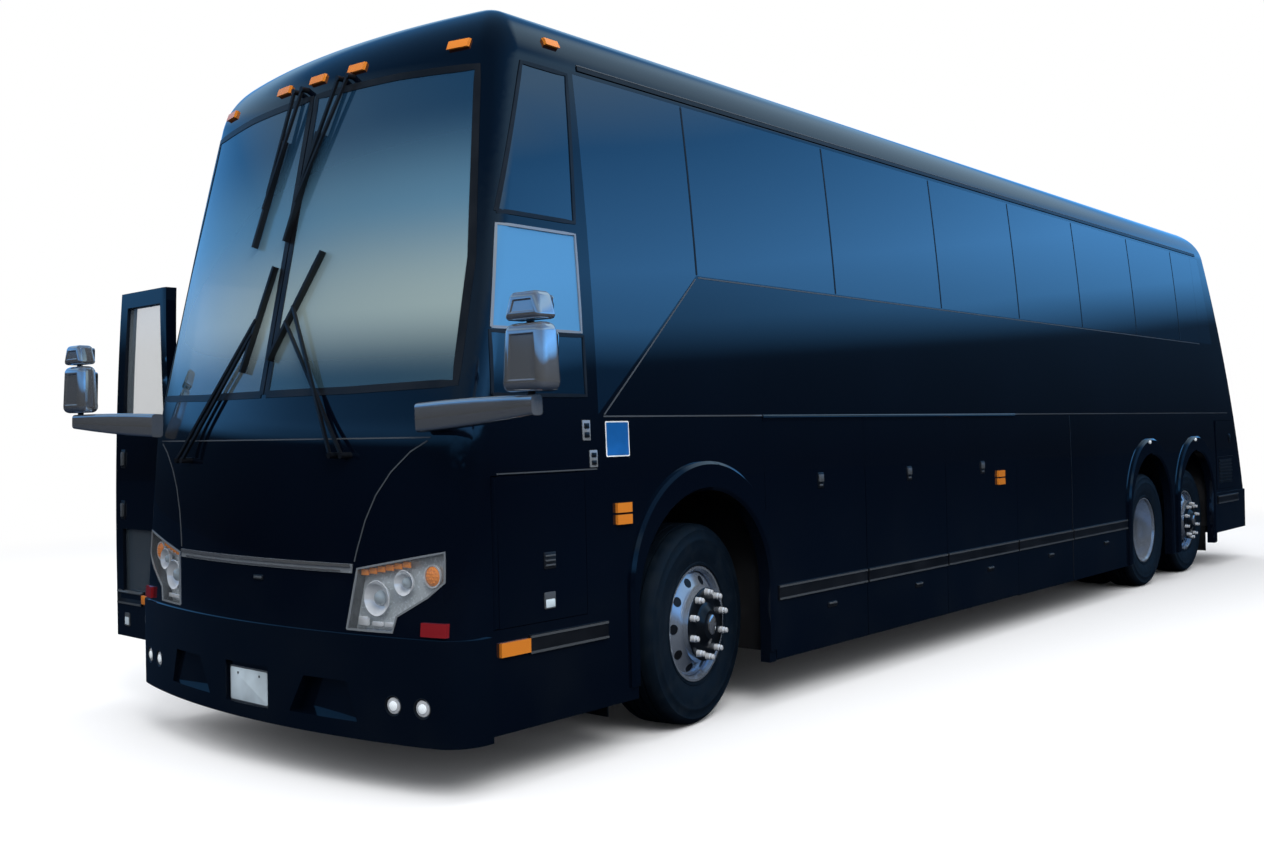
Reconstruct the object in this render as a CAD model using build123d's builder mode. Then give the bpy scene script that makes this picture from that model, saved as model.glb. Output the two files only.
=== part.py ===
"""Three-axle coach: hollow body, glazing, doors, lamps, running gear and seats, as separate pieces.

Millimetres. The front faces -Y, +X is the driver's side, and the tyres stand on z = 0.
The origin lies on the floor under the middle of the coach, on its centreline.
"""
import os
from math import asin, atan2, cos, degrees, radians, sin, sqrt

from build123d import *

os.makedirs("parts", exist_ok=True)

# Body section
half_width = 1295
skirt_z = 250
lean_start_z = 900
cant_z = 3240
cant_half = 1150
roof_edge_radius = 340
roof_top_z = 3600
wall = 60
belt_z = 1600
window_z = 2330

# Body along its length
front_y = -5950
mask_y = -5890
mask_z = 1480
glass_top_y = -5490
bow_radius = 4800
corner_radius = 150
corner_y = -5620
front_seam_y = -4900
pane_end_y = 4480
rear_seam_y = 4700
rear_y = 5930
rear_low_z = 800
rear_top_y = 5080
deck_z = 1240
deck_thickness = 60

# Running gear
front_axle_y = -4100
drive_axle_y = 2710
tag_axle_y = 4070
tyre_radius = 522
tyre_width = 300
rim_radius = 286
front_wheel_x = 1065
tag_wheel_x = 1050
drive_wheel_x = 1095
dual_spacing = 335
kingpin_x = 930
steer_rest = 9.5
spindle_radius = 60
pin_gap = 0.3
arch_half = 555
arch_top_z = 1222
flare_width = 62
flare_proud = 26

# Doors
door_gap = 6
hinge_radius = 8
hinge_wall = 6
hinge_reach = 15
leaf_flange = 6
entrance_open = 88
entrance_front_y = -5582
entrance_rear_y = -4925
entrance_low_z = 380
entrance_top_z = 2400
bay_seams = (-3560, -2480, -1410, -260)
bay_low_z = 256
fit = 0.5

# Bumpers
bumper_top_z = 675
bumper_proud = 18
bumper_depth = 130
rear_bumper_low_z = 350
rear_bumper_top_z = 760

# Mirrors
mirror_tip = (1850, -5870, 1640)
mirror_root = (1060, -5790, 1605)
mirror_head_width = 240

lean_rise = cant_z - lean_start_z
lean_drop = half_width - cant_half
lean_radius = (lean_rise**2 + lean_drop**2) / (2 * lean_drop)
lean_deg = degrees(asin(lean_rise / lean_radius))
edge_x = cant_half - roof_edge_radius * cos(radians(lean_deg))
edge_z = cant_z - roof_edge_radius * sin(radians(lean_deg))
crown_rise = roof_top_z - edge_z
crown_radius = (edge_x**2 + crown_rise**2 - roof_edge_radius**2) / (2 * (crown_rise - roof_edge_radius))
crown_deg = degrees(asin(edge_x / (crown_radius - roof_edge_radius)))
edge_deg = 90 - lean_deg - crown_deg
end_length = 1700
far = 8000


def save(piece, name):
    """Label one finished piece and write its file."""
    piece.label = name
    export_step(piece, f"parts/{name}.step")


def across(y):
    """A plane across the coach at y: its x runs to +X and its y runs up."""
    return Plane(origin=(0, y, 0), x_dir=(1, 0, 0), z_dir=(0, -1, 0))


def side_x(z):
    """Distance of the outer skin from the centreline at height z, below the cant rail."""
    return half_width - max(0, z - lean_start_z) ** 2 / (2 * lean_radius)


def body_section(y, inset=0, foot=skirt_z):
    """The closed cross-section of the coach at y, drawn inset inside its outer skin."""
    side = half_width - inset
    with BuildSketch(across(y)) as section:
        with BuildLine():
            Line((0, foot), (side, foot))
            Line((side, foot), (side, lean_start_z))
            lean = JernArc((side, lean_start_z), (0, 1), lean_radius - inset, lean_deg)
            edge = JernArc(lean @ 1, lean % 1, roof_edge_radius - inset, edge_deg)
            JernArc(edge @ 1, edge % 1, crown_radius - inset, crown_deg)
            mirror(about=Plane.YZ)
        make_face()
    return section.sketch


def side_prism(points, x_from, x_to):
    """A block whose side view is the outline given as (y, z) points, from x_from to x_to."""
    with BuildPart(mode=Mode.PRIVATE) as prism:
        with BuildSketch(Plane.YZ.offset(x_from)):
            with BuildLine():
                Polyline(*points, close=True)
            make_face()
        extrude(amount=x_to - x_from)
    return prism.part


def front_prism(points, y_from, y_to):
    """A block whose front view is the outline given as (x, z) points, from y_from to y_to."""
    with BuildPart(mode=Mode.PRIVATE) as prism:
        with BuildSketch(across(y_from)):
            with BuildLine():
                Polyline(*points, close=True)
            make_face()
        extrude(amount=y_from - y_to)
    return prism.part


def block(x, y, z):
    """A box between two values on each axis."""
    with BuildPart(mode=Mode.PRIVATE) as solid:
        with BuildSketch(Plane.XY.offset(z[0])):
            with Locations(((x[0] + x[1]) / 2, (y[0] + y[1]) / 2)):
                Rectangle(abs(x[1] - x[0]), abs(y[1] - y[0]))
        extrude(amount=z[1] - z[0])
    return solid.part


def grown(points, by):
    """The outline of (a, b) points moved outwards by a distance, as its own points."""
    with BuildSketch() as sketch:
        with BuildLine():
            Polyline(*points, close=True)
        make_face()
        offset(amount=by, kind=Kind.INTERSECTION)
    loop = sketch.face().outer_wire()
    return [(v.X, v.Y) for v in (edge @ 0 for edge in loop.order_edges())]


def end_form(profile, bow_y, inset, foot, direction, seam):
    """One end of the coach: the section, cut by a bowed face and rounded at its corners."""
    with BuildPart() as form:
        extrude(body_section(seam, inset, foot), amount=-direction * end_length)
        revolve(profile, axis=Axis((0, bow_y, 0), (0, 0, 1)), mode=Mode.INTERSECT)
        ahead = form.edges().filter_by(lambda e: direction * (e.center().Y - seam) > 50)
        rim = ahead.filter_by(lambda e: e.center().Z > foot + 5 and e.length > 20)
        rim = rim.filter_by(lambda e: abs(e.center().X) > half_width / 2 or e.center().Z > roof_top_z - 200)
        fillet(rim, radius=corner_radius - inset)
    return form.part


def nose_form(inset=0, foot=skirt_z):
    """The front end: upright bumper, slightly raked mask, raked windshield and round brow."""
    axis_y = front_y + bow_radius
    face = front_y + inset
    rake = degrees(atan2(glass_top_y - mask_y - 20, cant_z - mask_z))
    mask_lean = degrees(atan2(mask_y - front_y, mask_z - bumper_top_z))
    with BuildSketch(Plane.YZ) as profile:
        with BuildLine():
            Polyline((axis_y, foot - 1), (face, foot - 1), (face, bumper_top_z))
            mask = Line((face, bumper_top_z), (mask_y + inset, mask_z))
            sill = JernArc(mask @ 1, mask % 1, 1000, mask_lean - rake)
            glass = PolarLine(sill @ 1, (cant_z - (sill @ 1).Y) / cos(radians(rake)), direction=sill % 1)
            brow = JernArc(glass @ 1, glass % 1, 400 - inset, rake - 70)
            top = PolarLine(brow @ 1, 500, direction=brow % 1)
            Polyline(top @ 1, (axis_y, (top @ 1).Y), (axis_y, foot - 1))
        make_face()
    return end_form(profile.sketch, axis_y, inset, foot, -1, front_seam_y)


def tail_form(inset=0, foot=skirt_z):
    """The rear end: upright lower part, sloping back and rounded roof end."""
    rear_bow = 3 * bow_radius
    axis_y = rear_y - rear_bow
    face = rear_y - inset
    slope = degrees(atan2(rear_y - rear_top_y, cant_z - rear_low_z))
    with BuildSketch(Plane.YZ) as profile:
        with BuildLine():
            Polyline((axis_y, foot - 1), (face, foot - 1), (face, rear_low_z))
            back = Line((face, rear_low_z), (rear_top_y - inset, cant_z))
            brow = JernArc(back @ 1, back % 1, 400 - inset, 70 - slope)
            top = PolarLine(brow @ 1, 700, direction=brow % 1)
            Polyline(top @ 1, (axis_y, (top @ 1).Y), (axis_y, foot - 1))
        make_face()
    return end_form(profile.sketch, axis_y, inset, foot, 1, pane_end_y)


def arch_outline(centre_y, half, top_z, foot):
    """The side view of a wheel opening: straight legs and a round head."""
    spring_z = top_z - half
    with BuildSketch(Plane.YZ) as sketch:
        with BuildLine():
            Polyline((centre_y - half, spring_z), (centre_y - half, foot),
                     (centre_y + half, foot), (centre_y + half, spring_z))
            ThreePointArc((centre_y + half, spring_z), (centre_y, top_z), (centre_y - half, spring_z))
        make_face()
    return sketch.sketch


def arch_cut(centre_y, grow=0):
    """A block through both sides of the coach with the outline of a wheel opening."""
    outline = arch_outline(centre_y, arch_half + grow, arch_top_z + grow, skirt_z - 10)
    with BuildPart() as cut:
        extrude(outline, amount=half_width + flare_proud + 50, both=True)
    return cut.part


def flare(centre_y, foot):
    """The raised lip that runs round one wheel opening, on the left side."""
    outer = arch_outline(centre_y, arch_half + flare_width, arch_top_z + 2.4 * flare_width, foot)
    inner = arch_outline(centre_y, arch_half, arch_top_z, foot - 10)
    with BuildPart() as lip:
        extrude(outer, amount=half_width + flare_proud)
        extrude(inner, amount=half_width + flare_proud + 10, mode=Mode.SUBTRACT)
        split(bisect_by=Plane.YZ.offset(half_width - wall), keep=Keep.TOP)
        face = lip.faces().sort_by(Axis.X)[-1]
        chamfer(face.edges(), length=flare_proud * 0.6)
    return lip.part


def hinge_leaf(plane, length):
    """The door's half of a hook hinge: a bead on a neck, along the plane's z axis."""
    with BuildPart() as bead:
        with BuildSketch(plane):
            Circle(hinge_radius)
            with Locations((0, -hinge_reach / 2)):
                Rectangle(hinge_wall, hinge_reach)
            with Locations((-wall / 2, -hinge_reach - leaf_flange / 2)):
                Rectangle(wall + hinge_wall, leaf_flange)
        extrude(amount=length)
    return bead.part


def hinge_frame(plane, length):
    """The body's half of a hook hinge: a hooked lip round the bead, open to the outside."""
    outer = hinge_radius + pin_gap + hinge_wall
    with BuildPart() as hook:
        with BuildSketch(plane):
            Circle(outer)
            with BuildLine():
                Polyline((0, 0), (far, far * 0.7), (far, -far), (-0.5 * far, -far), close=True)
            make_face(mode=Mode.SUBTRACT)
            with Locations((-outer / 2, outer / 2)):
                Rectangle(outer, outer)
            Circle(hinge_radius + pin_gap, mode=Mode.SUBTRACT)
        extrude(amount=length)
    return hook.part


def hinge_void(plane, length):
    """The clear room for the bead, cut out of the body before the hooked lip is added."""
    with BuildPart() as void:
        with BuildSketch(plane):
            Circle(hinge_radius + pin_gap)
        extrude(amount=length)
    return void.part


def rect(y, z):
    """Corner points of a rectangle in a side or front view."""
    return [(y[0], z[0]), (y[1], z[0]), (y[1], z[1]), (y[0], z[1])]


# The two ends, outside and inside
nose_outer = nose_form()
nose_inner = nose_form(inset=wall, foot=skirt_z - 10)
tail_outer = tail_form()
tail_inner = tail_form(inset=wall, foot=skirt_z - 10)

# Side glazing: name of each pane, its outline as (y, z), drawn to the middle of the joints
pane_seams = (-4070, -2700, -1320, -30, 1250, 2580, 3840, pane_end_y)
pane_top_z = cant_z - 12
joint = 5
diagonal_foot = (front_seam_y + joint, belt_z + 14)
side_panes = [[diagonal_foot, (pane_seams[0] - joint, window_z), (pane_seams[0] - joint, pane_top_z),
               (front_seam_y + joint, pane_top_z)]]
for start, end in zip(pane_seams[:-1], pane_seams[1:]):
    side_panes.append(rect((start + joint, end - joint), (window_z, pane_top_z)))
quarter_pane = [(pane_end_y + joint, window_z), (4890, window_z), (4730, pane_top_z),
                (pane_end_y + joint, pane_top_z)]
pane_thickness = 30

# The front flare reaches into the first baggage door, which is cut away round it
with BuildPart() as flare_room:
    extrude(arch_outline(front_axle_y, arch_half + flare_width, arch_top_z + 2.4 * flare_width, skirt_z - 10),
            amount=half_width + flare_proud + 50)
with BuildPart() as flare_clearance:
    extrude(arch_outline(front_axle_y, arch_half + flare_width + door_gap,
                         arch_top_z + 2.4 * flare_width + door_gap, skirt_z - 10),
            amount=half_width + flare_proud + 50)

# Coach side wall, left then mirrored: one shell with its openings
arch_feet = {front_axle_y: skirt_z + 60, drive_axle_y: skirt_z, tag_axle_y: skirt_z}
hinge_x = side_x(belt_z)
hinge_z = belt_z - hinge_wall
leaf_top_z = hinge_z - hinge_reach
with BuildPart() as side_shell:
    extrude(body_section(rear_seam_y), amount=rear_seam_y - front_seam_y)
    extrude(body_section(rear_seam_y + 1, inset=wall, foot=skirt_z - 10),
            amount=rear_seam_y - front_seam_y + 2, mode=Mode.SUBTRACT)
    split(bisect_by=Plane.YZ, keep=Keep.TOP)
    split(bisect_by=Plane.XY.offset(cant_z), keep=Keep.BOTTOM)
    add(block((0, far), (pane_end_y, far), (belt_z, far)), mode=Mode.SUBTRACT)
    for pane in side_panes:
        add(side_prism(grown(pane, fit), 0, far), mode=Mode.SUBTRACT)
    for centre_y in (front_axle_y, drive_axle_y, tag_axle_y):
        add(arch_cut(centre_y), mode=Mode.SUBTRACT)
    for start, end in zip(bay_seams[:-1], bay_seams[1:]):
        opening = rect((start, end), (skirt_z - 5, hinge_z + hinge_wall))
        add(side_prism(opening, 0, far) - flare_room.part, mode=Mode.SUBTRACT)
    for centre_y, foot in arch_feet.items():
        add(flare(centre_y, foot))

# Pillars behind the joints between panes tie the belt to the cant rail
with BuildPart() as pillars:
    for seam in pane_seams[:-1]:
        add(block((cant_half - wall - 60, half_width), (seam - 30, seam + 30), (window_z - 40, cant_z)))
    extrude(body_section(rear_seam_y, inset=wall), amount=rear_seam_y - front_seam_y, mode=Mode.INTERSECT)
    extrude(body_section(rear_seam_y + 1, inset=wall + 40), amount=rear_seam_y - front_seam_y + 2,
            mode=Mode.SUBTRACT)

bay_hinge_plane = Plane(origin=(hinge_x, bay_seams[-1], hinge_z), x_dir=(1, 0, 0), z_dir=(0, -1, 0))
bay_span = bay_seams[-1] - bay_seams[0]
with BuildPart() as body_side:
    add(side_shell.part)
    add(pillars.part)
    add(hinge_void(bay_hinge_plane, bay_span), mode=Mode.SUBTRACT)
    add(hinge_frame(bay_hinge_plane, bay_span))
with BuildPart() as body_side_right:
    add(mirror(body_side.part, about=Plane.YZ, mode=Mode.PRIVATE))
save(body_side.part, "body_side_left")
save(body_side_right.part, "body_side_right")

# Baggage doors: three a side, hung from the belt line
with BuildPart() as side_skin:
    extrude(body_section(bay_seams[-1]), amount=bay_span)
    extrude(body_section(bay_seams[-1] + 1, inset=wall, foot=skirt_z - 10), amount=bay_span + 2,
            mode=Mode.SUBTRACT)
    split(bisect_by=Plane.YZ, keep=Keep.TOP)
for number, (start, end) in enumerate(zip(bay_seams[:-1], bay_seams[1:]), start=1):
    with BuildPart() as baggage_door:
        leaf = rect((start + door_gap / 2, end - door_gap / 2), (bay_low_z, leaf_top_z - leaf_flange))
        add((side_skin.part & side_prism(leaf, 0, far)) - flare_clearance.part)
        door_plane = Plane(origin=(hinge_x, end - door_gap / 2, hinge_z), x_dir=(1, 0, 0), z_dir=(0, -1, 0))
        add(hinge_leaf(door_plane, end - start - door_gap))
    save(baggage_door.part, f"baggage_door_left_{number}")
    save(mirror(baggage_door.part, about=Plane.YZ), f"baggage_door_right_{number}")

# Roof
with BuildPart() as roof:
    extrude(body_section(pane_end_y), amount=pane_end_y - front_seam_y)
    extrude(body_section(pane_end_y + 1, inset=wall, foot=skirt_z - 10),
            amount=pane_end_y - front_seam_y + 2, mode=Mode.SUBTRACT)
    split(bisect_by=Plane.XY.offset(cant_z), keep=Keep.TOP)
save(roof.part, "roof")

# Front openings, as (x, z) in the front view or (y, z) in the side view
screen_post = 22
windshield_outline = [(screen_post, 1738), (600, 1738), (1185, 1752), (1168, 2300), (1052, 3180),
                      (600, 3205), (screen_post, 3212)]
lamp_outline = [(690, 694), (735, 955), (1195, 1040), (1200, 915), (1120, 850), (965, 762), (945, 694)]
driver_panes = [
    [(-5545, 1992), (-4985, 1992), (-4985, 2448), (-5470, 2448)],
    [(-5565, 1700), (-4975, 1700), (-4975, 1975), (-5553, 1975)],
    [(-5462, 2505), (-4975, 2505), (-4935, 3215), (-5235, 3215)],
]
right_panes = [[(-5462, 2505), (-4985, 2505), (-4945, 3215), (-5235, 3215)]]
service_y = (-5560, -5010)
service_z = (700, 1350)
doorway = [(entrance_front_y, entrance_low_z), (entrance_front_y, mask_z), (-5455, entrance_top_z),
           (entrance_rear_y, entrance_top_z), (entrance_rear_y, entrance_low_z)]
glass_thickness = 12


def mirrored(points):
    """The same outline on the other side of the centreline."""
    return [(-a, b) for a, b in points]


service_hinge = Plane(origin=(side_x(service_z[1]), service_y[0] - hinge_reach - leaf_flange, service_z[1]),
                      x_dir=(1, 0, 0), z_dir=(0, 0, -1))
service_height = service_z[1] - service_z[0]
entrance_hinge = Plane(origin=(-half_width - 4, entrance_front_y - hinge_reach - leaf_flange, entrance_low_z),
                       x_dir=(-1, 0, 0), z_dir=(0, 0, 1))
entrance_hinge_spans = ((70, 160), (860, 160))
hinge_edge = hinge_reach + leaf_flange + hinge_radius + hinge_wall / 2

with BuildPart() as front_cap:
    add(nose_outer - nose_inner)
    # The bumper takes the place of the lower front, ahead of the side panels
    add(block((-far, far), (-far, corner_y), (0, bumper_top_z)), mode=Mode.SUBTRACT)
    for outline in (windshield_outline, mirrored(windshield_outline)):
        add(front_prism(grown(outline, fit), -5000, -far), mode=Mode.SUBTRACT)
    for outline in (lamp_outline, mirrored(lamp_outline)):
        add(front_prism(grown(outline, fit), -5000, -far), mode=Mode.SUBTRACT)
    for outline in driver_panes:
        add(side_prism(grown(outline, fit), 0, far), mode=Mode.SUBTRACT)
    for outline in right_panes:
        add(side_prism(grown(outline, fit), -far, 0), mode=Mode.SUBTRACT)
    service_room = rect((service_y[0] - hinge_edge, service_y[1]), service_z)
    add(side_prism(grown(service_room, door_gap / 2), 0, far), mode=Mode.SUBTRACT)
    add(side_prism(grown(doorway, door_gap), -far, 0), mode=Mode.SUBTRACT)
    for start, length in entrance_hinge_spans:
        low = entrance_low_z + start - door_gap
        slot = rect((entrance_front_y - hinge_edge, entrance_front_y), (low, low + length + 2 * door_gap))
        add(side_prism(slot, -far, 0), mode=Mode.SUBTRACT)
    add(block((-far, -half_width + wall + 10), (entrance_front_y - 20, entrance_rear_y + door_gap),
              (0, entrance_low_z)), mode=Mode.SUBTRACT)
    add(hinge_frame(service_hinge, service_height))
    for start, length in entrance_hinge_spans:
        add(hinge_frame(entrance_hinge.offset(start), length))
save(front_cap.part, "front_cap")

# Service door under the driver's window
with BuildPart() as service_door:
    add((nose_outer - nose_inner) & side_prism(rect(service_y, service_z), 0, far))
    add(hinge_leaf(service_hinge.offset(door_gap / 2), service_height - door_gap))
save(service_door.part, "service_door")

# Entrance door, built shut and then swung open on its front hinge
door_windows = [
    [(-5500, 1560), (-5500, 1640), (-5405, 2310), (-5010, 2310), (-5010, 1560)],
    rect((-5500, -5010), (640, 1010)),
]
entrance_axis = Axis(entrance_hinge.origin, (0, 0, 1))
with BuildPart() as entrance_door:
    add((nose_outer - nose_inner) & side_prism(doorway, -far, 0))
    for outline in door_windows:
        add(side_prism(grown(outline, fit), -far, 0), mode=Mode.SUBTRACT)
    for start, length in entrance_hinge_spans:
        add(hinge_leaf(entrance_hinge.offset(start), length))
with BuildPart() as entrance_glass:
    for outline in door_windows:
        add((nose_form(inset=20) - nose_form(inset=40)) & side_prism(outline, -far, 0))
save(entrance_door.part.rotate(entrance_axis, entrance_open), "entrance_door")
save(entrance_glass.part.rotate(entrance_axis, entrance_open), "entrance_door_glass")

# Front glazing
glass_shell = nose_outer - nose_form(inset=glass_thickness)
with BuildPart() as windshields:
    for outline in (windshield_outline, mirrored(windshield_outline)):
        add(glass_shell & front_prism(outline, -5000, -far))
save(windshields.part, "windshields")
with BuildPart() as cab_glass:
    for outline in driver_panes:
        add(glass_shell & side_prism(outline, 0, far))
    for outline in right_panes:
        add(glass_shell & side_prism(outline, -far, 0))
save(cab_glass.part, "cab_glass")

# Side glazing, left and right, flush with the skin
with BuildPart() as pane_skin:
    extrude(body_section(rear_seam_y), amount=rear_seam_y - front_seam_y)
    extrude(body_section(rear_seam_y + 1, inset=pane_thickness), amount=rear_seam_y - front_seam_y + 2,
            mode=Mode.SUBTRACT)
    split(bisect_by=Plane.YZ, keep=Keep.TOP)
with BuildPart() as side_glass:
    for pane in side_panes:
        add(pane_skin.part & side_prism(pane, 0, far))
    add((tail_outer - tail_form(inset=pane_thickness)) & side_prism(quarter_pane, 0, far))
    mirror(about=Plane.YZ)
save(side_glass.part, "side_glass")

# Headlamps fill the pockets in the mask
lamp_depth = 50
with BuildPart() as headlamps:
    for outline in (lamp_outline, mirrored(lamp_outline)):
        add((nose_outer - nose_form(inset=lamp_depth)) & front_prism(outline, -5000, -far))
save(headlamps.part, "headlamps")

# Front bumper, with air scoops, lamp holes and a plate recess
fog_places = ((960, 387), (1110, 387))
fog_radius = 42
scoop_outline = [(330, 300), (760, 300), (700, 470), (430, 470)]
plate_recess = rect((-175, 175), (290, 480))
bumper_foot = 225
with BuildPart() as front_bumper:
    add(nose_form(inset=-bumper_proud, foot=bumper_foot) - nose_form(inset=bumper_depth, foot=bumper_foot - 10))
    add(block((-far, far), (-far, corner_y), (bumper_foot, bumper_top_z)), mode=Mode.INTERSECT)
    for outline in (scoop_outline, mirrored(scoop_outline)):
        add(front_prism(outline, front_y + 60, -far), mode=Mode.SUBTRACT)
    add(front_prism(plate_recess, front_y + 4, -far), mode=Mode.SUBTRACT)
    for x, z in fog_places:
        for side in (-x, x):
            with BuildSketch(across(front_y + 400)):
                with Locations((side, z)):
                    Circle(fog_radius + fit)
            extrude(amount=far, mode=Mode.SUBTRACT)
    corner_cut = [(half_width - 420, bumper_foot - 5), (far, bumper_foot + 150), (far, bumper_foot - 5)]
    for outline in (corner_cut, mirrored(corner_cut)):
        add(front_prism(outline, -5000, -far), mode=Mode.SUBTRACT)
save(front_bumper.part, "front_bumper")
with BuildPart() as fog_lamps:
    for x, z in fog_places:
        for side in (-x, x):
            with BuildSketch(across(front_y + 400)):
                with Locations((side, z)):
                    Circle(fog_radius)
            extrude(amount=far)
    add(nose_form(inset=-bumper_proud + 6, foot=bumper_foot) - nose_form(inset=70, foot=bumper_foot - 10),
        mode=Mode.INTERSECT)
save(fog_lamps.part, "fog_lamps")

# Rear cap with openings for the radiator door, the engine side door and the engine door
radiator_y = (4800, 5420)
radiator_z = (800, 1520)
engine_x = (-930, 930)
engine_z = (830, 1900)
tail_shell = tail_outer - tail_inner
radiator_hinge = Plane(origin=(side_x(radiator_z[1]), radiator_y[0] - hinge_reach - leaf_flange, radiator_z[1]),
                       x_dir=(1, 0, 0), z_dir=(0, 0, -1))
engine_hinge_z = engine_z[1] + hinge_reach + leaf_flange
engine_hinge_y = rear_y - (engine_hinge_z - rear_low_z) * (rear_y - rear_top_y) / (cant_z - rear_low_z)
engine_hinge = Plane(origin=(engine_x[0], engine_hinge_y - 12, engine_hinge_z), x_dir=(0, 1, 0), z_dir=(1, 0, 0))
engine_width = engine_x[1] - engine_x[0]
radiator_height = radiator_z[1] - radiator_z[0]
with BuildPart() as rear_cap:
    add(tail_shell)
    add(block((-far, far), (-far, rear_seam_y), (0, belt_z)), mode=Mode.SUBTRACT)
    add(block((-far, far), (-far, far), (0, rear_bumper_top_z)), mode=Mode.SUBTRACT)
    for outline in (quarter_pane,):
        add(side_prism(grown(outline, fit), -far, far), mode=Mode.SUBTRACT)
    room = rect((radiator_y[0] - hinge_edge, radiator_y[1]), radiator_z)
    add(side_prism(grown(room, door_gap / 2), -far, far), mode=Mode.SUBTRACT)
    hatch = rect(engine_x, (engine_z[0], engine_z[1] + hinge_edge))
    add(front_prism(grown(hatch, door_gap / 2), far, 5200), mode=Mode.SUBTRACT)
    add(hinge_frame(radiator_hinge, radiator_height))
    add(mirror(hinge_frame(radiator_hinge, radiator_height), about=Plane.YZ, mode=Mode.PRIVATE))
    add(hinge_frame(engine_hinge, engine_width))
save(rear_cap.part, "rear_cap")
with BuildPart() as radiator_door:
    add(tail_shell & side_prism(rect(radiator_y, radiator_z), 0, far))
    add(hinge_leaf(radiator_hinge.offset(door_gap / 2), radiator_height - door_gap))
save(radiator_door.part, "radiator_door_left")
save(mirror(radiator_door.part, about=Plane.YZ), "engine_side_door_right")

with BuildPart() as engine_door:
    add(tail_shell & front_prism(rect(engine_x, engine_z), far, 5200))
    add(hinge_leaf(engine_hinge.offset(door_gap / 2), engine_width - door_gap))
    for row in range(10):
        louvre = rect((-760, 760), (930 + 62 * row, 930 + 62 * row + 26))
        add(front_prism(louvre, far, 5200), mode=Mode.SUBTRACT)
save(engine_door.part, "engine_door")

# Rear bumper
with BuildPart() as rear_bumper:
    add(tail_form(inset=-bumper_proud, foot=rear_bumper_low_z)
        - tail_form(inset=bumper_depth, foot=rear_bumper_low_z - 10))
    add(block((-far, far), (rear_seam_y, far), (rear_bumper_low_z, rear_bumper_top_z)), mode=Mode.INTERSECT)
save(rear_bumper.part, "rear_bumper")

# Lamps that stand a little proud of the skin
lamp_proud = 16
with BuildPart() as side_band:
    extrude(body_section(rear_seam_y, inset=-lamp_proud), amount=rear_seam_y - front_seam_y)
    extrude(body_section(rear_seam_y + 1, foot=skirt_z - 10), amount=rear_seam_y - front_seam_y + 2,
            mode=Mode.SUBTRACT)
nose_band = nose_form(inset=-lamp_proud) - nose_outer
tail_band = tail_form(inset=-lamp_proud) - tail_outer
brow_places = (-930, -300, 0, 300, 930)
turn_lamps = [rect((y, y + 105), (z, z + 46)) for y in (-4800, -600) for z in (1092, 1148)]
with BuildPart() as marker_lamps:
    for x in brow_places:
        add(nose_band & front_prism(rect((x - 55, x + 55), (3285, 3325)), -5100, -far))
    for side in (-1, 1):
        across_side = (0, far) if side > 0 else (-far, 0)
        add(nose_band & side_prism(rect((-5050, -4960), (3340, 3375)), *across_side))
        for lamp in turn_lamps:
            add(side_band.part & side_prism(lamp, *across_side))
    add(nose_band & side_prism(rect((-5565, -5390), (580, 640)), 0, far))
save(marker_lamps.part, "marker_lamps")
with BuildPart() as tail_lamps:
    for side in (-1, 1):
        for low in (960, 1130, 1300):
            stack = rect(sorted((side * 1000, side * 1130)), (low, low + 150))
            add(tail_band & front_prism(stack, far, 5200))
        add(nose_band & front_prism(rect(sorted((side * 1105, side * 1225)), (688, 746)), -5400, -far))
save(tail_lamps.part, "tail_lamps")


def glass_y(x, z, inset=0):
    """Where the raked windshield plane stands at x and z, moved back by inset."""
    rake = atan2(glass_top_y - mask_y - 20, cant_z - mask_z)
    mask_lean = atan2(mask_y - front_y, mask_z - bumper_top_z)
    start_y = mask_y + 1000 * (cos(mask_lean) - cos(rake))
    start_z = mask_z + 1000 * (sin(rake) - sin(mask_lean))
    middle = start_y + (z - start_z) * sin(rake) / cos(rake)
    radius = front_y + bow_radius - middle
    return middle + radius - sqrt(radius**2 - x**2) + inset


def bar(start, end, width, depth):
    """A flat bar from one point to another, width across the glass and depth off it."""
    along = Vector(*end) - Vector(*start)
    with BuildPart() as strip:
        with BuildSketch(Plane(origin=start, x_dir=along.cross(Vector(0, 1, 0)), z_dir=along)):
            Rectangle(width, depth)
        extrude(amount=along.length)
    return strip.part


# Wipers: a pair of arms from each pivot and a blade, low and high on each screen
wiper_sets = (
    # pivot x, pivot z, blade low x, z, blade high x, z
    (592, 1449, 20, 1900, 300, 2400),
    (-720, 1424, -200, 1850, -60, 2360),
    (214, 3262, -10, 2480, 110, 3010),
    (-144, 3262, -290, 2480, -170, 3010),
)
arm_standoff = 34
blade_standoff = 20
arm_spread = 70
with BuildPart() as wipers:
    for pivot_x, pivot_z, low_x, low_z, high_x, high_z in wiper_sets:
        low = (low_x, glass_y(low_x, low_z, -blade_standoff), low_z)
        high = (high_x, glass_y(high_x, high_z, -blade_standoff), high_z)
        add(bar(low, high, 16, 30))
        for x, share in ((pivot_x, 0.5), (pivot_x + arm_spread, 0.36)):
            tip_x = low_x + share * (high_x - low_x)
            tip_z = low_z + share * (high_z - low_z)
            add(bar((x, glass_y(x, pivot_z, -arm_standoff), pivot_z),
                    (tip_x, glass_y(tip_x, tip_z, -arm_standoff), tip_z), 14, 14))
            with BuildSketch(Plane(origin=(x, glass_y(x, pivot_z, 30), pivot_z),
                                   x_dir=(1, 0, 0), z_dir=(0, -1, 0))):
                Circle(14)
            extrude(amount=arm_standoff + 38)
    add(nose_outer, mode=Mode.SUBTRACT)
save(wipers.part, "wipers")

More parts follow.
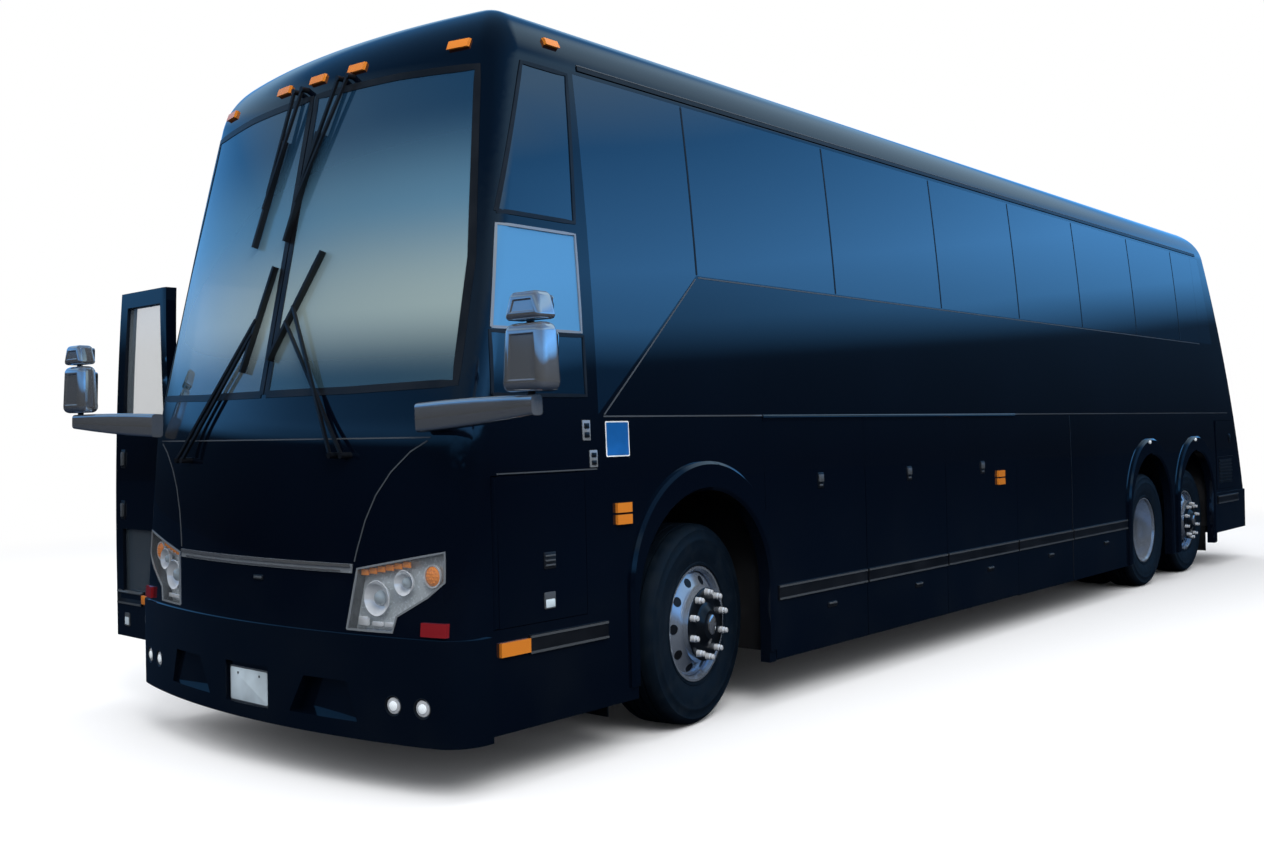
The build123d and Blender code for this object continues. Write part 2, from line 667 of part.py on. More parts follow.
# Mirrors: a broad arm from the corner of the mask, with a small head over a tall one
with BuildPart() as mirrors:
    with BuildSketch(Plane(origin=mirror_root, x_dir=(0, 1, 0),
                           z_dir=Vector(*mirror_tip) - Vector(*mirror_root))) as root_end:
        RectangleRounded(70, 124, 24)
    with BuildSketch(Plane(origin=mirror_tip, x_dir=(0, 1, 0),
                           z_dir=Vector(*mirror_tip) - Vector(*mirror_root))) as tip_end:
        RectangleRounded(56, 80, 20)
    loft()
    head_x = mirror_tip[0] - 40
    for low, tall in ((1690, 265), (1962, 110)):
        with BuildSketch(Plane.XY.offset(low)):
            with Locations((head_x, mirror_tip[1] + 12)):
                RectangleRounded(mirror_head_width, 120, 50)
        extrude(amount=tall)
    with BuildSketch(Plane.XY.offset(mirror_tip[2])):
        with Locations((head_x, mirror_tip[1])):
            Circle(18)
    extrude(amount=400)
    add(nose_outer, mode=Mode.SUBTRACT)
    mirror(about=Plane.YZ)
save(mirrors.part, "mirrors")

# Underframe: rails, bay floor, bulkheads and wheel housings
bay_front_y = -3480
bay_rear_y = 2120
rail_x = (430, 510)
rail_z = (640, 760)
inner_half = half_width - wall - fit
housing_x = (525, 535)
bay_floor_z = (300, 380)
deck_top_z = deck_z + deck_thickness
deck_half = side_x(deck_top_z) - wall - fit
deck_front_y = -4780
with BuildPart() as underframe:
    add(block((-inner_half, inner_half), (bay_front_y, bay_rear_y), bay_floor_z))
    for y in (bay_front_y, bay_seams[-1], bay_rear_y - 40):
        add(block((-deck_half, deck_half), (y, y + 40), (bay_floor_z[0], deck_z)))
    for y in ((-5560, bay_front_y + 10), (bay_rear_y - 10, 5600)):
        for side in (-1, 1):
            add(block(sorted((side * rail_x[0], side * rail_x[1])), y, rail_z))
    for y in (-5500, -4880, 4720, 5500):
        add(block((-rail_x[1], rail_x[1]), (y, y + 80), (rail_z[0] - 40, rail_z[0])))
    for y in ((-4770, bay_front_y + 10), (bay_rear_y - 10, 4680)):
        for side in (-1, 1):
            add(block(sorted((side * housing_x[0], side * housing_x[1])), y, (rail_z[0], deck_z)))
    for y, low in ((-4770, 300), (4670, 420)):
        for side in (-1, 1):
            add(block(sorted((side * housing_x[0], side * inner_half)), (y, y + 10), (low, 879)))
    for side in (-1, 1):
        add(block(sorted((side * housing_x[0], side * deck_half)), (4670, 4680), (870, deck_z)))
save(underframe.part, "underframe")

# Floors: passenger deck, driver's platform and the entrance steps
platform_z = (880, 940)
platform_half = inner_half - 12
with BuildPart() as passenger_deck:
    add(block((-deck_half, deck_half), (deck_front_y, rear_seam_y), (deck_z, deck_top_z)))
    add(block((20 - deck_half, deck_half - 20), (rear_seam_y, 5150), (deck_z, deck_top_z)))
save(passenger_deck.part, "passenger_deck")
steps = [(-inner_half, 300), (-940, 300), (-940, 540), (-660, 540), (-660, 780), (-400, 780), (-400, platform_z[0]),
         (platform_half, platform_z[0]), (platform_half, platform_z[1]), (-460, platform_z[1]), (-460, 840),
         (-720, 840), (-720, 600), (-1000, 600), (-1000, 360), (-inner_half, 360)]
with BuildPart() as cockpit_floor:
    add(front_prism(steps, entrance_rear_y, entrance_front_y))
    add(block((-400, platform_half), (entrance_rear_y, deck_front_y - 11), platform_z))
    add(block((-deck_half, deck_half), (deck_front_y - 11, deck_front_y - fit), (platform_z[0], deck_top_z)))
save(cockpit_floor.part, "cockpit_floor")

# Dashboard, steering wheel and seats
dash_profile = [(-5690, 940), (-5690, 1500), (-5600, 1560), (-5480, 1540), (-5400, 1450), (-5410, 1380),
                (-5480, 1300), (-5520, 940)]
dash_x = (-330, 1115)
wheel_centre = (560, -5330, 1640)
with BuildPart() as dashboard:
    add(side_prism(dash_profile, *dash_x))
save(dashboard.part, "dashboard")
with BuildPart() as steering_wheel:
    tilt = Plane(origin=wheel_centre, x_dir=(1, 0, 0), z_dir=(0, 0.62, 0.78))
    with BuildSketch(Plane(origin=Vector(*wheel_centre) + tilt.x_dir * 225, x_dir=tilt.x_dir, z_dir=tilt.y_dir)):
        Circle(16)
    revolve(axis=Axis(wheel_centre, tilt.z_dir))
    for turn in (-90, 30, 150):
        spoke = Vector(cos(radians(turn)), sin(radians(turn)), 0) * 225
        add(bar(wheel_centre, tuple(tilt.from_local_coords(spoke)), 30, 14))
    with BuildSketch(tilt.offset(-280)):
        Circle(40)
    extrude(amount=300)
    add(side_prism(dash_profile, *dash_x), mode=Mode.SUBTRACT)
    steering = steering_wheel.solids().sort_by(SortBy.VOLUME)[-1]
save(Part() + steering, "steering_wheel")

seat_side = [(-60, 0), (-60, 300), (40, 310), (180, 1130), (150, 1160), (70, 1150), (-40, 450), (-470, 470),
             (-480, 350), (-380, 310), (-380, 0)]
row_pitch = 870
seat_rows = 9
with BuildPart() as passenger_seats:
    for row in range(seat_rows):
        y = -3950 + row * row_pitch
        outline = [(a + y, b + deck_top_z) for a, b in seat_side]
        for side in (-1, 1):
            add(side_prism(outline, side * 290, side * 1130))
save(passenger_seats.part, "passenger_seats")
with BuildPart() as driver_seat:
    outline = [(a - 4850, b + platform_z[1]) for a, b in seat_side]
    add(side_prism(outline, 310, 810))
save(driver_seat.part, "driver_seat")

# Engine block and axles
with BuildPart() as engine:
    add(block((-400, 400), (4730, 5480), (rail_z[0], 1200)))
save(engine.part, "engine")

axle_z = tyre_radius
spindle_tip = 88
with BuildPart() as front_axle:
    add(block((-kingpin_x + 30, kingpin_x - 30), (front_axle_y - 45, front_axle_y + 45),
              (axle_z - 60, axle_z + 50)))
    for side in (-1, 1):
        with BuildSketch(Plane.XY.offset(axle_z - 85)):
            with Locations((side * kingpin_x, front_axle_y)):
                Circle(42)
        extrude(amount=170)
    for side in (-1, 1):
        with BuildSketch(Plane.XY.offset(axle_z - 90)):
            with Locations((side * kingpin_x, front_axle_y)):
                Circle(25 + pin_gap)
        extrude(amount=180, mode=Mode.SUBTRACT)
        with BuildSketch(Plane.XY.offset(axle_z)):
            with Locations((side * 470, front_axle_y)):
                Circle(110)
        extrude(amount=rail_z[0] - axle_z)
save(front_axle.part, "front_axle")


def axle_tube(centre_y, tip_x, shoulder_x):
    """A straight axle with spindle ends, on two air springs."""
    with BuildPart() as tube:
        for radius, reach in ((spindle_radius, tip_x), (78, shoulder_x)):
            with BuildSketch(Plane.YZ):
                with Locations((centre_y, axle_z)):
                    Circle(radius)
            extrude(amount=reach, both=True)
        for side in (-1, 1):
            with BuildSketch(Plane.XY.offset(axle_z)):
                with Locations((side * 470, centre_y)):
                    Circle(105)
            extrude(amount=rail_z[0] - axle_z)
    return tube.part


with BuildPart() as rear_axles:
    add(axle_tube(drive_axle_y, drive_wheel_x - 45 - 5, drive_wheel_x - 260 - 5))
    with BuildSketch(Plane.YZ.offset(-130)):
        with Locations((drive_axle_y, axle_z)):
            Circle(185)
    extrude(amount=260)
    add(axle_tube(tag_axle_y, tag_wheel_x + spindle_tip, tag_wheel_x - 80 - 5))
save(rear_axles.part, "rear_axles")

# Wheels: rim outlines as (outward from the tyre's middle, radius)
lip = [(112, 274), (130, 286), (130, 298), (118, 298), (118, rim_radius)]
lip_back = [(-a, r) for a, r in reversed(lip)]
single_rim = ([(150, 0), (150, 60), (135, 92), (95, 104), (95, 200), (75, 236), (62, 272)] + lip + lip_back
              + [(40, 272), (50, 236), (68, 200), (68, 118), (-80, 118), (-80, spindle_radius + pin_gap),
                 (spindle_tip + 5, spindle_radius + pin_gap), (spindle_tip + 5, 0)])
dual_rim = ([(-20, 0), (-20, 70), (-40, 100), (-125, 105), (-125, 200), (-85, 236), (-60, 272)] + lip + lip_back
            + [(-85, 272), (-110, 236), (-167.5, 195), (-167.5, 118), (-260, 118),
               (-260, spindle_radius + pin_gap), (-45, spindle_radius + pin_gap), (-45, 0)])
inner_rim = [(-dual_spacing - a, r) for a, r in
             [(-125, 118), (-125, 200), (-85, 236), (-60, 272)] + lip + lip_back
             + [(-85, 272), (-110, 236), (-167.5, 195), (-167.5, 118)]]
half_tyre = tyre_width / 2
tyre_outline = [(-118, rim_radius), (118, rim_radius), (118, 298.3), (134, 303), (half_tyre, 405),
                (half_tyre - 6, 480), (112, tyre_radius), (-112, tyre_radius), (6 - half_tyre, 480),
                (-half_tyre, 405), (-134, 303), (-118, 298.3)]
hand_holes = 10
nut_circle = 167


def turned(outline, centre):
    """A solid of revolution about the wheel's axis, which runs along +X through centre."""
    with BuildPart() as solid:
        with BuildSketch(Plane(origin=centre, x_dir=(1, 0, 0), z_dir=(0, -1, 0))):
            with BuildLine():
                Polyline(*outline, close=True)
            make_face()
        revolve(axis=Axis(centre, (1, 0, 0)))
    return solid.part


def rim(outline, centre, disc_x, nut_x):
    """A rim with its ring of hand holes and its ring of nuts."""
    with BuildPart() as solid:
        add(turned(outline, centre))
        with BuildSketch(Plane(origin=centre + Vector(disc_x - 60, 0, 0), x_dir=(0, 1, 0), z_dir=(1, 0, 0))):
            with PolarLocations(222, hand_holes):
                Circle(26)
        extrude(amount=120, mode=Mode.SUBTRACT)
        with BuildSketch(Plane(origin=centre + Vector(nut_x, 0, 0), x_dir=(0, 1, 0), z_dir=(1, 0, 0))):
            with PolarLocations(nut_circle, hand_holes, start_angle=18):
                RegularPolygon(17, 6)
        extrude(amount=34)
    return solid.part


def save_pair(solid, name):
    """Write a wheel piece for the left side and its mirror image for the right."""
    save(solid, f"{name}_left")
    save(mirror(solid, about=Plane.YZ), f"{name}_right")


front_centre = Vector(front_wheel_x, front_axle_y, axle_z)
drive_centre = Vector(drive_wheel_x, drive_axle_y, axle_z)
tag_centre = Vector(tag_wheel_x, tag_axle_y, axle_z)
save_pair(rim(single_rim, tag_centre, 75, 94), "wheel_tag")
save_pair(turned(tyre_outline, tag_centre), "tyre_tag")
with BuildPart() as drive_wheel:
    add(rim(dual_rim, drive_centre, -100, -126))
    add(turned(inner_rim, drive_centre))
save_pair(drive_wheel.part, "wheel_drive")
with BuildPart() as drive_tyres:
    add(turned(tyre_outline, drive_centre))
    add(turned(tyre_outline, drive_centre - Vector(dual_spacing, 0, 0)))
save_pair(drive_tyres.part, "tyre_drive")

# Front wheels and knuckles, turned together about the kingpin as they stand
with BuildPart() as knuckle:
    with BuildSketch(Plane.XY.offset(axle_z - 130)):
        with Locations((kingpin_x, front_axle_y)):
            Circle(25)
    extrude(amount=260)
    for low in (axle_z - 130, axle_z + 90):
        add(block((kingpin_x - 40, kingpin_x + 52), (front_axle_y - 45, front_axle_y + 45), (low, low + 40)))
    add(block((kingpin_x + 47, kingpin_x + 53), (front_axle_y - 45, front_axle_y + 45),
              (axle_z - 130, axle_z + 130)))
    with BuildSketch(Plane.YZ.offset(kingpin_x + 47)):
        with Locations((front_axle_y, axle_z)):
            Circle(spindle_radius)
    extrude(amount=front_wheel_x + spindle_tip - kingpin_x - 47)
front_rim = rim(single_rim, front_centre, 75, 94)
front_tyre = turned(tyre_outline, front_centre)
for side, word in ((1, "left"), (-1, "right")):
    kingpin = Axis((side * kingpin_x, front_axle_y, 0), (0, 0, 1))
    for solid, name in ((knuckle.part, "knuckle"), (front_rim, "wheel_front"), (front_tyre, "tyre_front")):
        placed = solid if side > 0 else mirror(solid, about=Plane.YZ)
        save(placed.rotate(kingpin, steer_rest), f"{name}_{word}")

# Flaps behind the rear wheels and ahead of the front ones
with BuildPart() as mudflaps:
    for y, low, high in ((4680.3, 160, 640), (-4778.3, 170, 420)):
        for side in (-1, 1):
            add(block(sorted((side * 880, side * 1200)), (y, y + 8), (low, high)))
save(mudflaps.part, "mudflaps")
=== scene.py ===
"""Looks for the three-axle coach: finishes, trim, lamps, wheels and seats on the CAD frame, in a studio."""

import math

import bmesh
import bpy
from mathutils import Matrix, Vector
from mathutils.bvhtree import BVHTree


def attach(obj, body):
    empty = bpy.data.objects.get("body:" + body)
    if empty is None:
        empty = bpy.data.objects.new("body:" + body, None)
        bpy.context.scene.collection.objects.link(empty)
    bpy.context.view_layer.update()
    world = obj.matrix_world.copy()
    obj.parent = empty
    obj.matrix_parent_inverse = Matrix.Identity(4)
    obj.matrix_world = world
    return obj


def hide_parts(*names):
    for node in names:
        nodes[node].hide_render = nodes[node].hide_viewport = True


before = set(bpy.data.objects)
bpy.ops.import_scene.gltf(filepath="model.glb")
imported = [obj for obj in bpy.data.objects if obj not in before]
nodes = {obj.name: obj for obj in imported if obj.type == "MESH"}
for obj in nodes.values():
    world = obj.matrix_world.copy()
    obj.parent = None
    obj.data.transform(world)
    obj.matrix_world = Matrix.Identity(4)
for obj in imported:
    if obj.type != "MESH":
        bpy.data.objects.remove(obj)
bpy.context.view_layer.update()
sides = {"left": 1, "right": -1}


# Finishes: arithmetic on a Field adds Math nodes, and Tree.node adds any other

class Field:
    """A value that varies over a surface or the sky."""

    def __init__(self, owner, socket):
        self.owner = owner
        self.socket = socket

    def combine(self, operation, first, second, clamp=False):
        return self.owner.node("ShaderNodeMath", {"operation": operation, "use_clamp": clamp},
                               {0: first, 1: second})

    def __add__(self, other):
        return self.combine("ADD", self, other)

    def __rsub__(self, other):
        return self.combine("SUBTRACT", other, self)

    def __mul__(self, other):
        return self.combine("MULTIPLY", self, other)

    __radd__ = __add__
    __rmul__ = __mul__

    def held(self):
        """The same value, kept between 0 and 1."""
        return self.combine("ADD", self, 0.0, clamp=True)

    def rise(self, start, end):
        """0 below start, 1 above end and smooth between them."""
        return self.owner.node("ShaderNodeMapRange", {"interpolation_type": "SMOOTHSTEP"},
                               {"Value": self, "From Min": start, "From Max": end})


class Tree:
    """A node tree whose nodes are made and linked in one call."""

    def __init__(self, tree):
        self.tree = tree

    def feed(self, socket, value):
        """Link a socket to a field, or set it to a constant."""
        if isinstance(value, Field):
            self.tree.links.new(value.socket, socket)
        else:
            socket.default_value = value

    def node(self, kind, settings=None, values=None, out=0):
        made = self.tree.nodes.new(kind)
        for key, value in (settings or {}).items():
            setattr(made, key, value)
        for key, value in (values or {}).items():
            self.feed(made.inputs[key], value)
        return Field(self, made.outputs[out])

    def mix(self, factor, low, high):
        """A colour between low and high."""
        low, high = ((*colour, 1.0) if isinstance(colour, tuple) else colour for colour in (low, high))
        return self.node("ShaderNodeMix", {"data_type": "RGBA"}, {0: factor, 6: low, 7: high}, out=2)


class Finish(Tree):
    """A material with one Principled shader."""

    def __init__(self, name, colour, rough, metal=0.0, **fixed):
        self.material = bpy.data.materials.new(name)
        self.material.use_nodes = True
        super().__init__(self.material.node_tree)
        self.shader = self.tree.nodes["Principled BSDF"]
        self.set("Base Color", (*colour, 1.0))
        self.set("Roughness", rough)
        self.set("Metallic", metal)
        for socket, value in fixed.items():
            self.set(socket.replace("_", " ").title().replace("Ior", "IOR"), value)

    def set(self, socket, value):
        self.feed(self.shader.inputs[socket], value)

    def place(self):
        return self.node("ShaderNodeTexCoord", out="Object")

    def axis(self, letter):
        return self.node("ShaderNodeSeparateXYZ", None, {0: self.place()}, out=letter)

    def noise(self, scale, detail=3.0):
        return self.node("ShaderNodeTexNoise", None,
                         {"Vector": self.place(), "Scale": scale, "Detail": detail})

    def stripes(self, direction, scale):
        return self.node("ShaderNodeTexWave", {"bands_direction": direction},
                         {"Vector": self.place(), "Scale": scale})

    def bump(self, height, depth, strength):
        self.set("Normal", self.node("ShaderNodeBump", None,
                                     {"Height": height, "Distance": depth, "Strength": strength}))


road_dust = (0.018, 0.022, 0.026)
glass_dust = (0.05, 0.055, 0.06)
rib_scale = 260 / 6


def road_dirt(finish):
    """Thin dust, thickest low down and broken up by noise."""
    return ((1 - finish.axis("Z").rise(0.15, 1.5)) * finish.noise(2.2, 5.0).rise(0.35, 0.8)).held()


def painted(name, colour, rough, coat):
    """Gloss paint under lacquer, with a faint orange peel and road dust near the floor."""
    made = Finish(name, colour, rough, coat_weight=coat, coat_roughness=0.03, specular_ior_level=0.35)
    dirt = road_dirt(made)
    shade = made.mix(made.noise(0.7, 2.0).rise(0.3, 0.7), colour, tuple(c * 1.35 for c in colour))
    made.set("Base Color", made.mix(dirt * 0.14, shade, road_dust))
    made.set("Roughness", dirt * 0.12 + rough)
    made.bump(made.noise(380.0, 1.0), 0.00006, 0.25)
    return made


def tinted(name, colour, alpha, dust=0.0):
    """Tinted glass with a faint film of dust."""
    made = Finish(name, colour, 0.02, coat_weight=1.0, coat_roughness=0.02, coat_ior=1.7, ior=1.8,
                  alpha=alpha)
    film = made.noise(3.0, 4.0).rise(0.4, 0.9)
    made.set("Roughness", film * 0.03 + 0.015)
    made.set("Base Color", made.mix(film * dust, colour, glass_dust))
    return made


def plastic(name, colour, rough, grain=900.0, depth=0.00015):
    """Moulded plastic or rubber with a fine grain."""
    made = Finish(name, colour, rough)
    patch = made.noise(5.0, 3.0)
    lighter = tuple(c * 1.6 + 0.004 for c in colour)
    made.set("Base Color", made.mix(patch.rise(0.3, 0.75), colour, lighter))
    made.set("Roughness", patch * 0.16 + (rough - 0.08))
    made.bump(made.noise(grain, 2.0), depth, 0.6)
    return made


def bright(name, colour, rough, metal, grain, low, spread, detail=3.0, edges=(0.3, 0.8), **fixed):
    """Bright metal or lacquer whose roughness goes from low to low + spread in patches."""
    made = Finish(name, colour, rough, metal, **fixed)
    made.set("Roughness", made.noise(grain, detail).rise(*edges) * spread + low)
    return made


def lens(name, colour, rough, glow):
    """A moulded lamp lens with fine ribs that glows a little."""
    made = Finish(name, colour, rough, coat_weight=0.7, coat_roughness=0.03)
    made.set("Emission Color", (*colour, 1.0))
    made.set("Emission Strength", glow)
    stripe = made.stripes("DIAGONAL", rib_scale)
    lighter = tuple(min(1.0, c * 1.5 + 0.02) for c in colour)
    made.set("Base Color", made.mix(stripe * 0.35, colour, lighter))
    made.bump(stripe, 0.0006, 0.5)
    return made


# Paint and bright metal
paint = painted("black_paint", (0.0008, 0.0022, 0.0062), 0.08, 1.0)
bumper_black = painted("bumper_black", (0.0010, 0.0026, 0.0066), 0.12, 0.8)
hub_black = painted("hub_black", (0.0035, 0.0045, 0.0060), 0.28, 0.3)
bright_shell = bright("bright_shell", (0.76, 0.79, 0.82), 0.06, 0.90, 9.0, 0.04, 0.05, 4.0, (0.35, 0.85),
                      coat_weight=0.3, coat_roughness=0.02)
rim_alloy = bright("polished_aluminium", (0.58, 0.65, 0.74), 0.24, 0.80, 14.0, 0.22, 0.04, 4.0, (0.35, 0.85))
line_metal = bright("trim_line", (0.085, 0.095, 0.105), 0.32, 0.2, 40.0, 0.28, 0.15)
bright_edge = bright("bright_edge", (0.30, 0.33, 0.36), 0.22, 0.40, 30.0, 0.16, 0.12)
reflector = bright("lamp_reflector", (0.84, 0.87, 0.90), 0.12, 0.40, 60.0, 0.10, 0.08, coat_weight=0.5)
tub_grey = bright("lamp_tub", (0.60, 0.66, 0.70), 0.25, 0.30, 80.0, 0.18, 0.15)
silver = (0.90, 0.91, 0.92)
mirror_silver = Finish("mirror_silver", silver, 0.01, 1.0)
smudge = mirror_silver.noise(9.0, 4.0).rise(0.35, 0.85)
mirror_silver.set("Roughness", smudge * 0.01 + 0.01)
mirror_silver.set("Base Color", mirror_silver.mix(smudge * 0.25, silver, tuple(c * 0.86 for c in silver)))

# Plastic, rubber and cast iron
frame_steel = plastic("frame_steel", (0.011, 0.011, 0.012), 0.55, 320.0, 0.0004)
engine_iron = plastic("engine_iron", (0.080, 0.078, 0.075), 0.62, 260.0, 0.0008)
trim_plastic = plastic("trim_plastic", (0.020, 0.020, 0.022), 0.50)
satin_black = plastic("satin_black", (0.0045, 0.0052, 0.0068), 0.32)
gasket_grey = plastic("gasket_grey", (0.004, 0.004, 0.005), 0.45)
flap_rubber = plastic("flap_rubber", (0.0045, 0.0045, 0.0048), 0.72, 500.0, 0.0006)
floor_vinyl = plastic("floor_vinyl", (0.110, 0.112, 0.120), 0.55, 1400.0, 0.0002)
dash_grain = plastic("dash_grain", (0.050, 0.052, 0.056), 0.58, 1100.0, 0.0004)
# White plates, given the darker blue grey of a white plate in shade: painted shade
plate_white_painted_shade = plastic("plate_white_painted_shade", (0.44, 0.52, 0.57), 0.45, 600.0, 0.00005)
sign_blue = plastic("sign_blue", (0.003, 0.095, 0.330), 0.30, 600.0, 0.00003)
sign_white = plastic("sign_white", (0.75, 0.77, 0.78), 0.35, 600.0, 0.00003)
screen_black = Finish("screen_black", (0.006, 0.007, 0.009), 0.12, coat_weight=0.5)

# Lamps
amber = lens("lamp_amber", (0.64, 0.200, 0.020), 0.12, 0.08)
red = lens("lamp_red", (0.20, 0.008, 0.012), 0.12, 0.04)
lit_lamp = lens("lit_lamp", (0.70, 0.76, 0.80), 0.1, 0.35)
clear_lens = tinted("lamp_clear", (0.62, 0.68, 0.72), 0.08)
eye_glass = tinted("projector_glass", (0.30, 0.36, 0.40), 1.0)

# Glass: the windshield is dark at its foot, pale in the middle and dark blue at its top; the pale middle and
# the blue top are a painted reflection of the sky
dark_glass = tinted("dark_glass", (0.0020, 0.0110, 0.0300), 0.985)
screen_glass = tinted("windshield_glass", (0.018, 0.032, 0.040), 0.75, 0.15)
height = screen_glass.axis("Z")
screen_glass.set("Alpha", 0.86 + 0.10 * height.rise(2.0, 3.15))
# pale: the painted sky reflection, pale low down and dark blue higher up
pale = screen_glass.mix(height.rise(2.10, 2.62), (0.360, 0.460, 0.450), (0.105, 0.235, 0.345))
pale = screen_glass.mix(height.rise(2.50, 3.05), pale, (0.010, 0.042, 0.092))
screen_glass.set("Base Color", screen_glass.mix(height.rise(1.78, 2.12), (0.030, 0.066, 0.092), pale))

# The driver's sliding pane is painted a lighter sky blue than the rest of the cab glass: a painted sky
# reflection
slider_glass = tinted("slider_glass", (0.22, 0.34, 0.46), 0.62, 0.1)
height = slider_glass.axis("Z")
# The band of the sliding pane, which takes the painted sky reflection
slider = height.rise(1.980, 1.985) * (1 - height.rise(2.470, 2.480))
slider_glass.set("Base Color", slider_glass.mix(slider, (0.002, 0.013, 0.034), (0.090, 0.290, 0.560)))
slider_glass.set("Alpha", 0.985 - 0.10 * slider)

# The entrance door's lower pane is darker than its upper one
door_glass = tinted("door_glass", (0.10, 0.13, 0.15), 0.45, 0.1)
upper = door_glass.axis("Z").rise(1.15, 1.20)
door_glass.set("Base Color", door_glass.mix(upper, (0.045, 0.060, 0.074), (0.30, 0.36, 0.40)))
door_glass.set("Alpha", 0.93 - 0.63 * upper)

# Woven seat cloth with flecks
seat_cloth = Finish("seat_fabric", (0.020, 0.023, 0.040), 0.92, sheen_weight=0.3)
fleck = seat_cloth.noise(60.0, 3.0).rise(0.45, 0.62)
seat_cloth.set("Base Color", seat_cloth.mix(fleck * 0.6, (0.016, 0.019, 0.034), (0.055, 0.062, 0.095)))
seat_cloth.bump(seat_cloth.stripes("X", 160.0) * seat_cloth.stripes("Z", 160.0), 0.0008, 0.7)

# Scuffed tyre rubber
tread_rubber = Finish("tyre", (0.016, 0.016, 0.017), 0.78)
scuff = tread_rubber.noise(14.0, 5.0).rise(0.4, 0.8)
tread_rubber.set("Base Color", tread_rubber.mix(scuff, (0.0020, 0.0058, 0.0110), (0.0060, 0.0110, 0.0165)))
tread_rubber.set("Roughness", scuff * 0.2 + 0.62)
tread_rubber.bump(tread_rubber.noise(420.0, 3.0), 0.0004, 0.5)

node_finish = {
    paint: "body_side_left body_side_right roof front_cap rear_cap entrance_door service_door "
           "radiator_door_left engine_side_door_right engine_door baggage_door_left_1 "
           "baggage_door_left_2 baggage_door_left_3 baggage_door_right_1 baggage_door_right_2 "
           "baggage_door_right_3",
    bumper_black: "front_bumper rear_bumper",
    dark_glass: "side_glass",
    slider_glass: "cab_glass",
    door_glass: "entrance_door_glass",
    screen_glass: "windshields",
    rim_alloy: "wheel_front_left wheel_front_right wheel_drive_left wheel_drive_right wheel_tag_left "
               "wheel_tag_right",
    frame_steel: "underframe front_axle rear_axles knuckle_left knuckle_right",
    engine_iron: "engine",
    floor_vinyl: "passenger_deck cockpit_floor",
    dash_grain: "dashboard",
    trim_plastic: "steering_wheel",
    flap_rubber: "mudflaps",
    red: "tail_lamps",
    satin_black: "wipers fog_lamps",
    clear_lens: "headlamps",
}
cad_sharp_angle, cad_weld = 28.0, 0.00005


def soften(thing):
    """Smooth shading between faces that meet at a small angle."""
    for face in thing.data.polygons:
        face.use_smooth = True
    weld = thing.modifiers.new("weld", "WELD")
    weld.merge_threshold = cad_weld
    split = thing.modifiers.new("sharp edges", "EDGE_SPLIT")
    split.split_angle = math.radians(cad_sharp_angle)


for finish, names in node_finish.items():
    for name in names.split():
        nodes[name].data.materials.clear()
        nodes[name].data.materials.append(finish.material)
        soften(nodes[name])


# Places: metres and degrees

def at(x, y, z):
    return Matrix.Translation((x, y, z))


def spin(degrees, axis):
    return Matrix.Rotation(math.radians(degrees), 4, axis)


def frame_at(spot, normal):
    """A matrix that stands local Z along normal with local Y as near upright as it can be."""
    out = normal.normalized()
    right = Vector((0, 0, 1)).cross(out)
    right = right.normalized() if right.length > 0.01 else Vector((1, 0, 0))
    up = out.cross(right)
    return Matrix.Translation(spot) @ Matrix((right, up, out)).transposed().to_4x4()


# Shapes

def linked(name, data):
    """A new object in the scene."""
    thing = bpy.data.objects.new(name, data)
    bpy.context.scene.collection.objects.link(thing)
    return thing


def finished(name, shape, body, finish, replaces=(), angle=35.0):
    """Turn a bmesh into a named piece that rides on a body."""
    bmesh.ops.remove_doubles(shape, verts=shape.verts, dist=0.00002)
    mesh = bpy.data.meshes.new(name)
    shape.to_mesh(mesh)
    shape.free()
    thing = linked(name, mesh)
    for one in finish if isinstance(finish, list) else [finish]:
        mesh.materials.append(one.material)
    for face in mesh.polygons:
        face.use_smooth = True
    mesh.set_sharp_from_angle(angle=math.radians(angle))
    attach(thing, body)
    if replaces:
        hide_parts(*replaces)
    return thing


def joined(shape, own, matrix=None, index=0):
    """Add a finished bmesh to another one."""
    if matrix is not None:
        bmesh.ops.transform(own, matrix=matrix, verts=own.verts)
        if matrix.determinant() < 0:
            bmesh.ops.reverse_faces(own, faces=own.faces)
    for face in own.faces:
        face.material_index = index
    part = bpy.data.meshes.new("part")
    own.to_mesh(part)
    own.free()
    shape.from_mesh(part)
    bpy.data.meshes.remove(part)


def block(width, depth, height):
    """A box about the local origin."""
    own = bmesh.new()
    bmesh.ops.create_cube(own, size=1.0)
    bmesh.ops.scale(own, vec=(width, depth, height), verts=own.verts)
    return own


def lifted(own, rise):
    bmesh.ops.translate(own, vec=(0, 0, rise), verts=own.verts)
    return own


def ease(own, edges, offset, segments):
    """Round the given edges."""
    bmesh.ops.bevel(own, geom=edges, offset=offset, offset_type="OFFSET", segments=segments, profile=0.5,
                    affect="EDGES", material=-1)


def slab(width, height, thick, corner=0.0, edge=0.0):
    """A flat block with round corners and eased front edges, standing on local Z = 0."""
    own = lifted(block(width, height, thick), thick / 2)
    if corner:
        ease(own, [e for e in own.edges if abs(e.verts[0].co.z - e.verts[1].co.z) > thick / 2], corner, 4)
    if edge:
        ease(own, [e for e in own.edges if min(v.co.z for v in e.verts) > thick * 0.99], edge, 2)
    return own


def turned(profile, steps=32, close=False):
    """A shape spun about local Z from (radius, height) points."""
    own = bmesh.new()
    ring = [own.verts.new((r, 0, z)) for r, z in profile]
    edges = [own.edges.new(pair) for pair in zip(ring, ring[1:])]
    if close:
        edges.append(own.edges.new((ring[-1], ring[0])))
    bmesh.ops.spin(own, geom=ring + edges, axis=(0, 0, 1), cent=(0, 0, 0), angle=math.tau, steps=steps,
                   use_merge=True, use_duplicate=False)
    bmesh.ops.remove_doubles(own, verts=own.verts, dist=0.00001)
    bmesh.ops.recalc_face_normals(own, faces=own.faces)
    return own


# The coach's skin, which trim follows

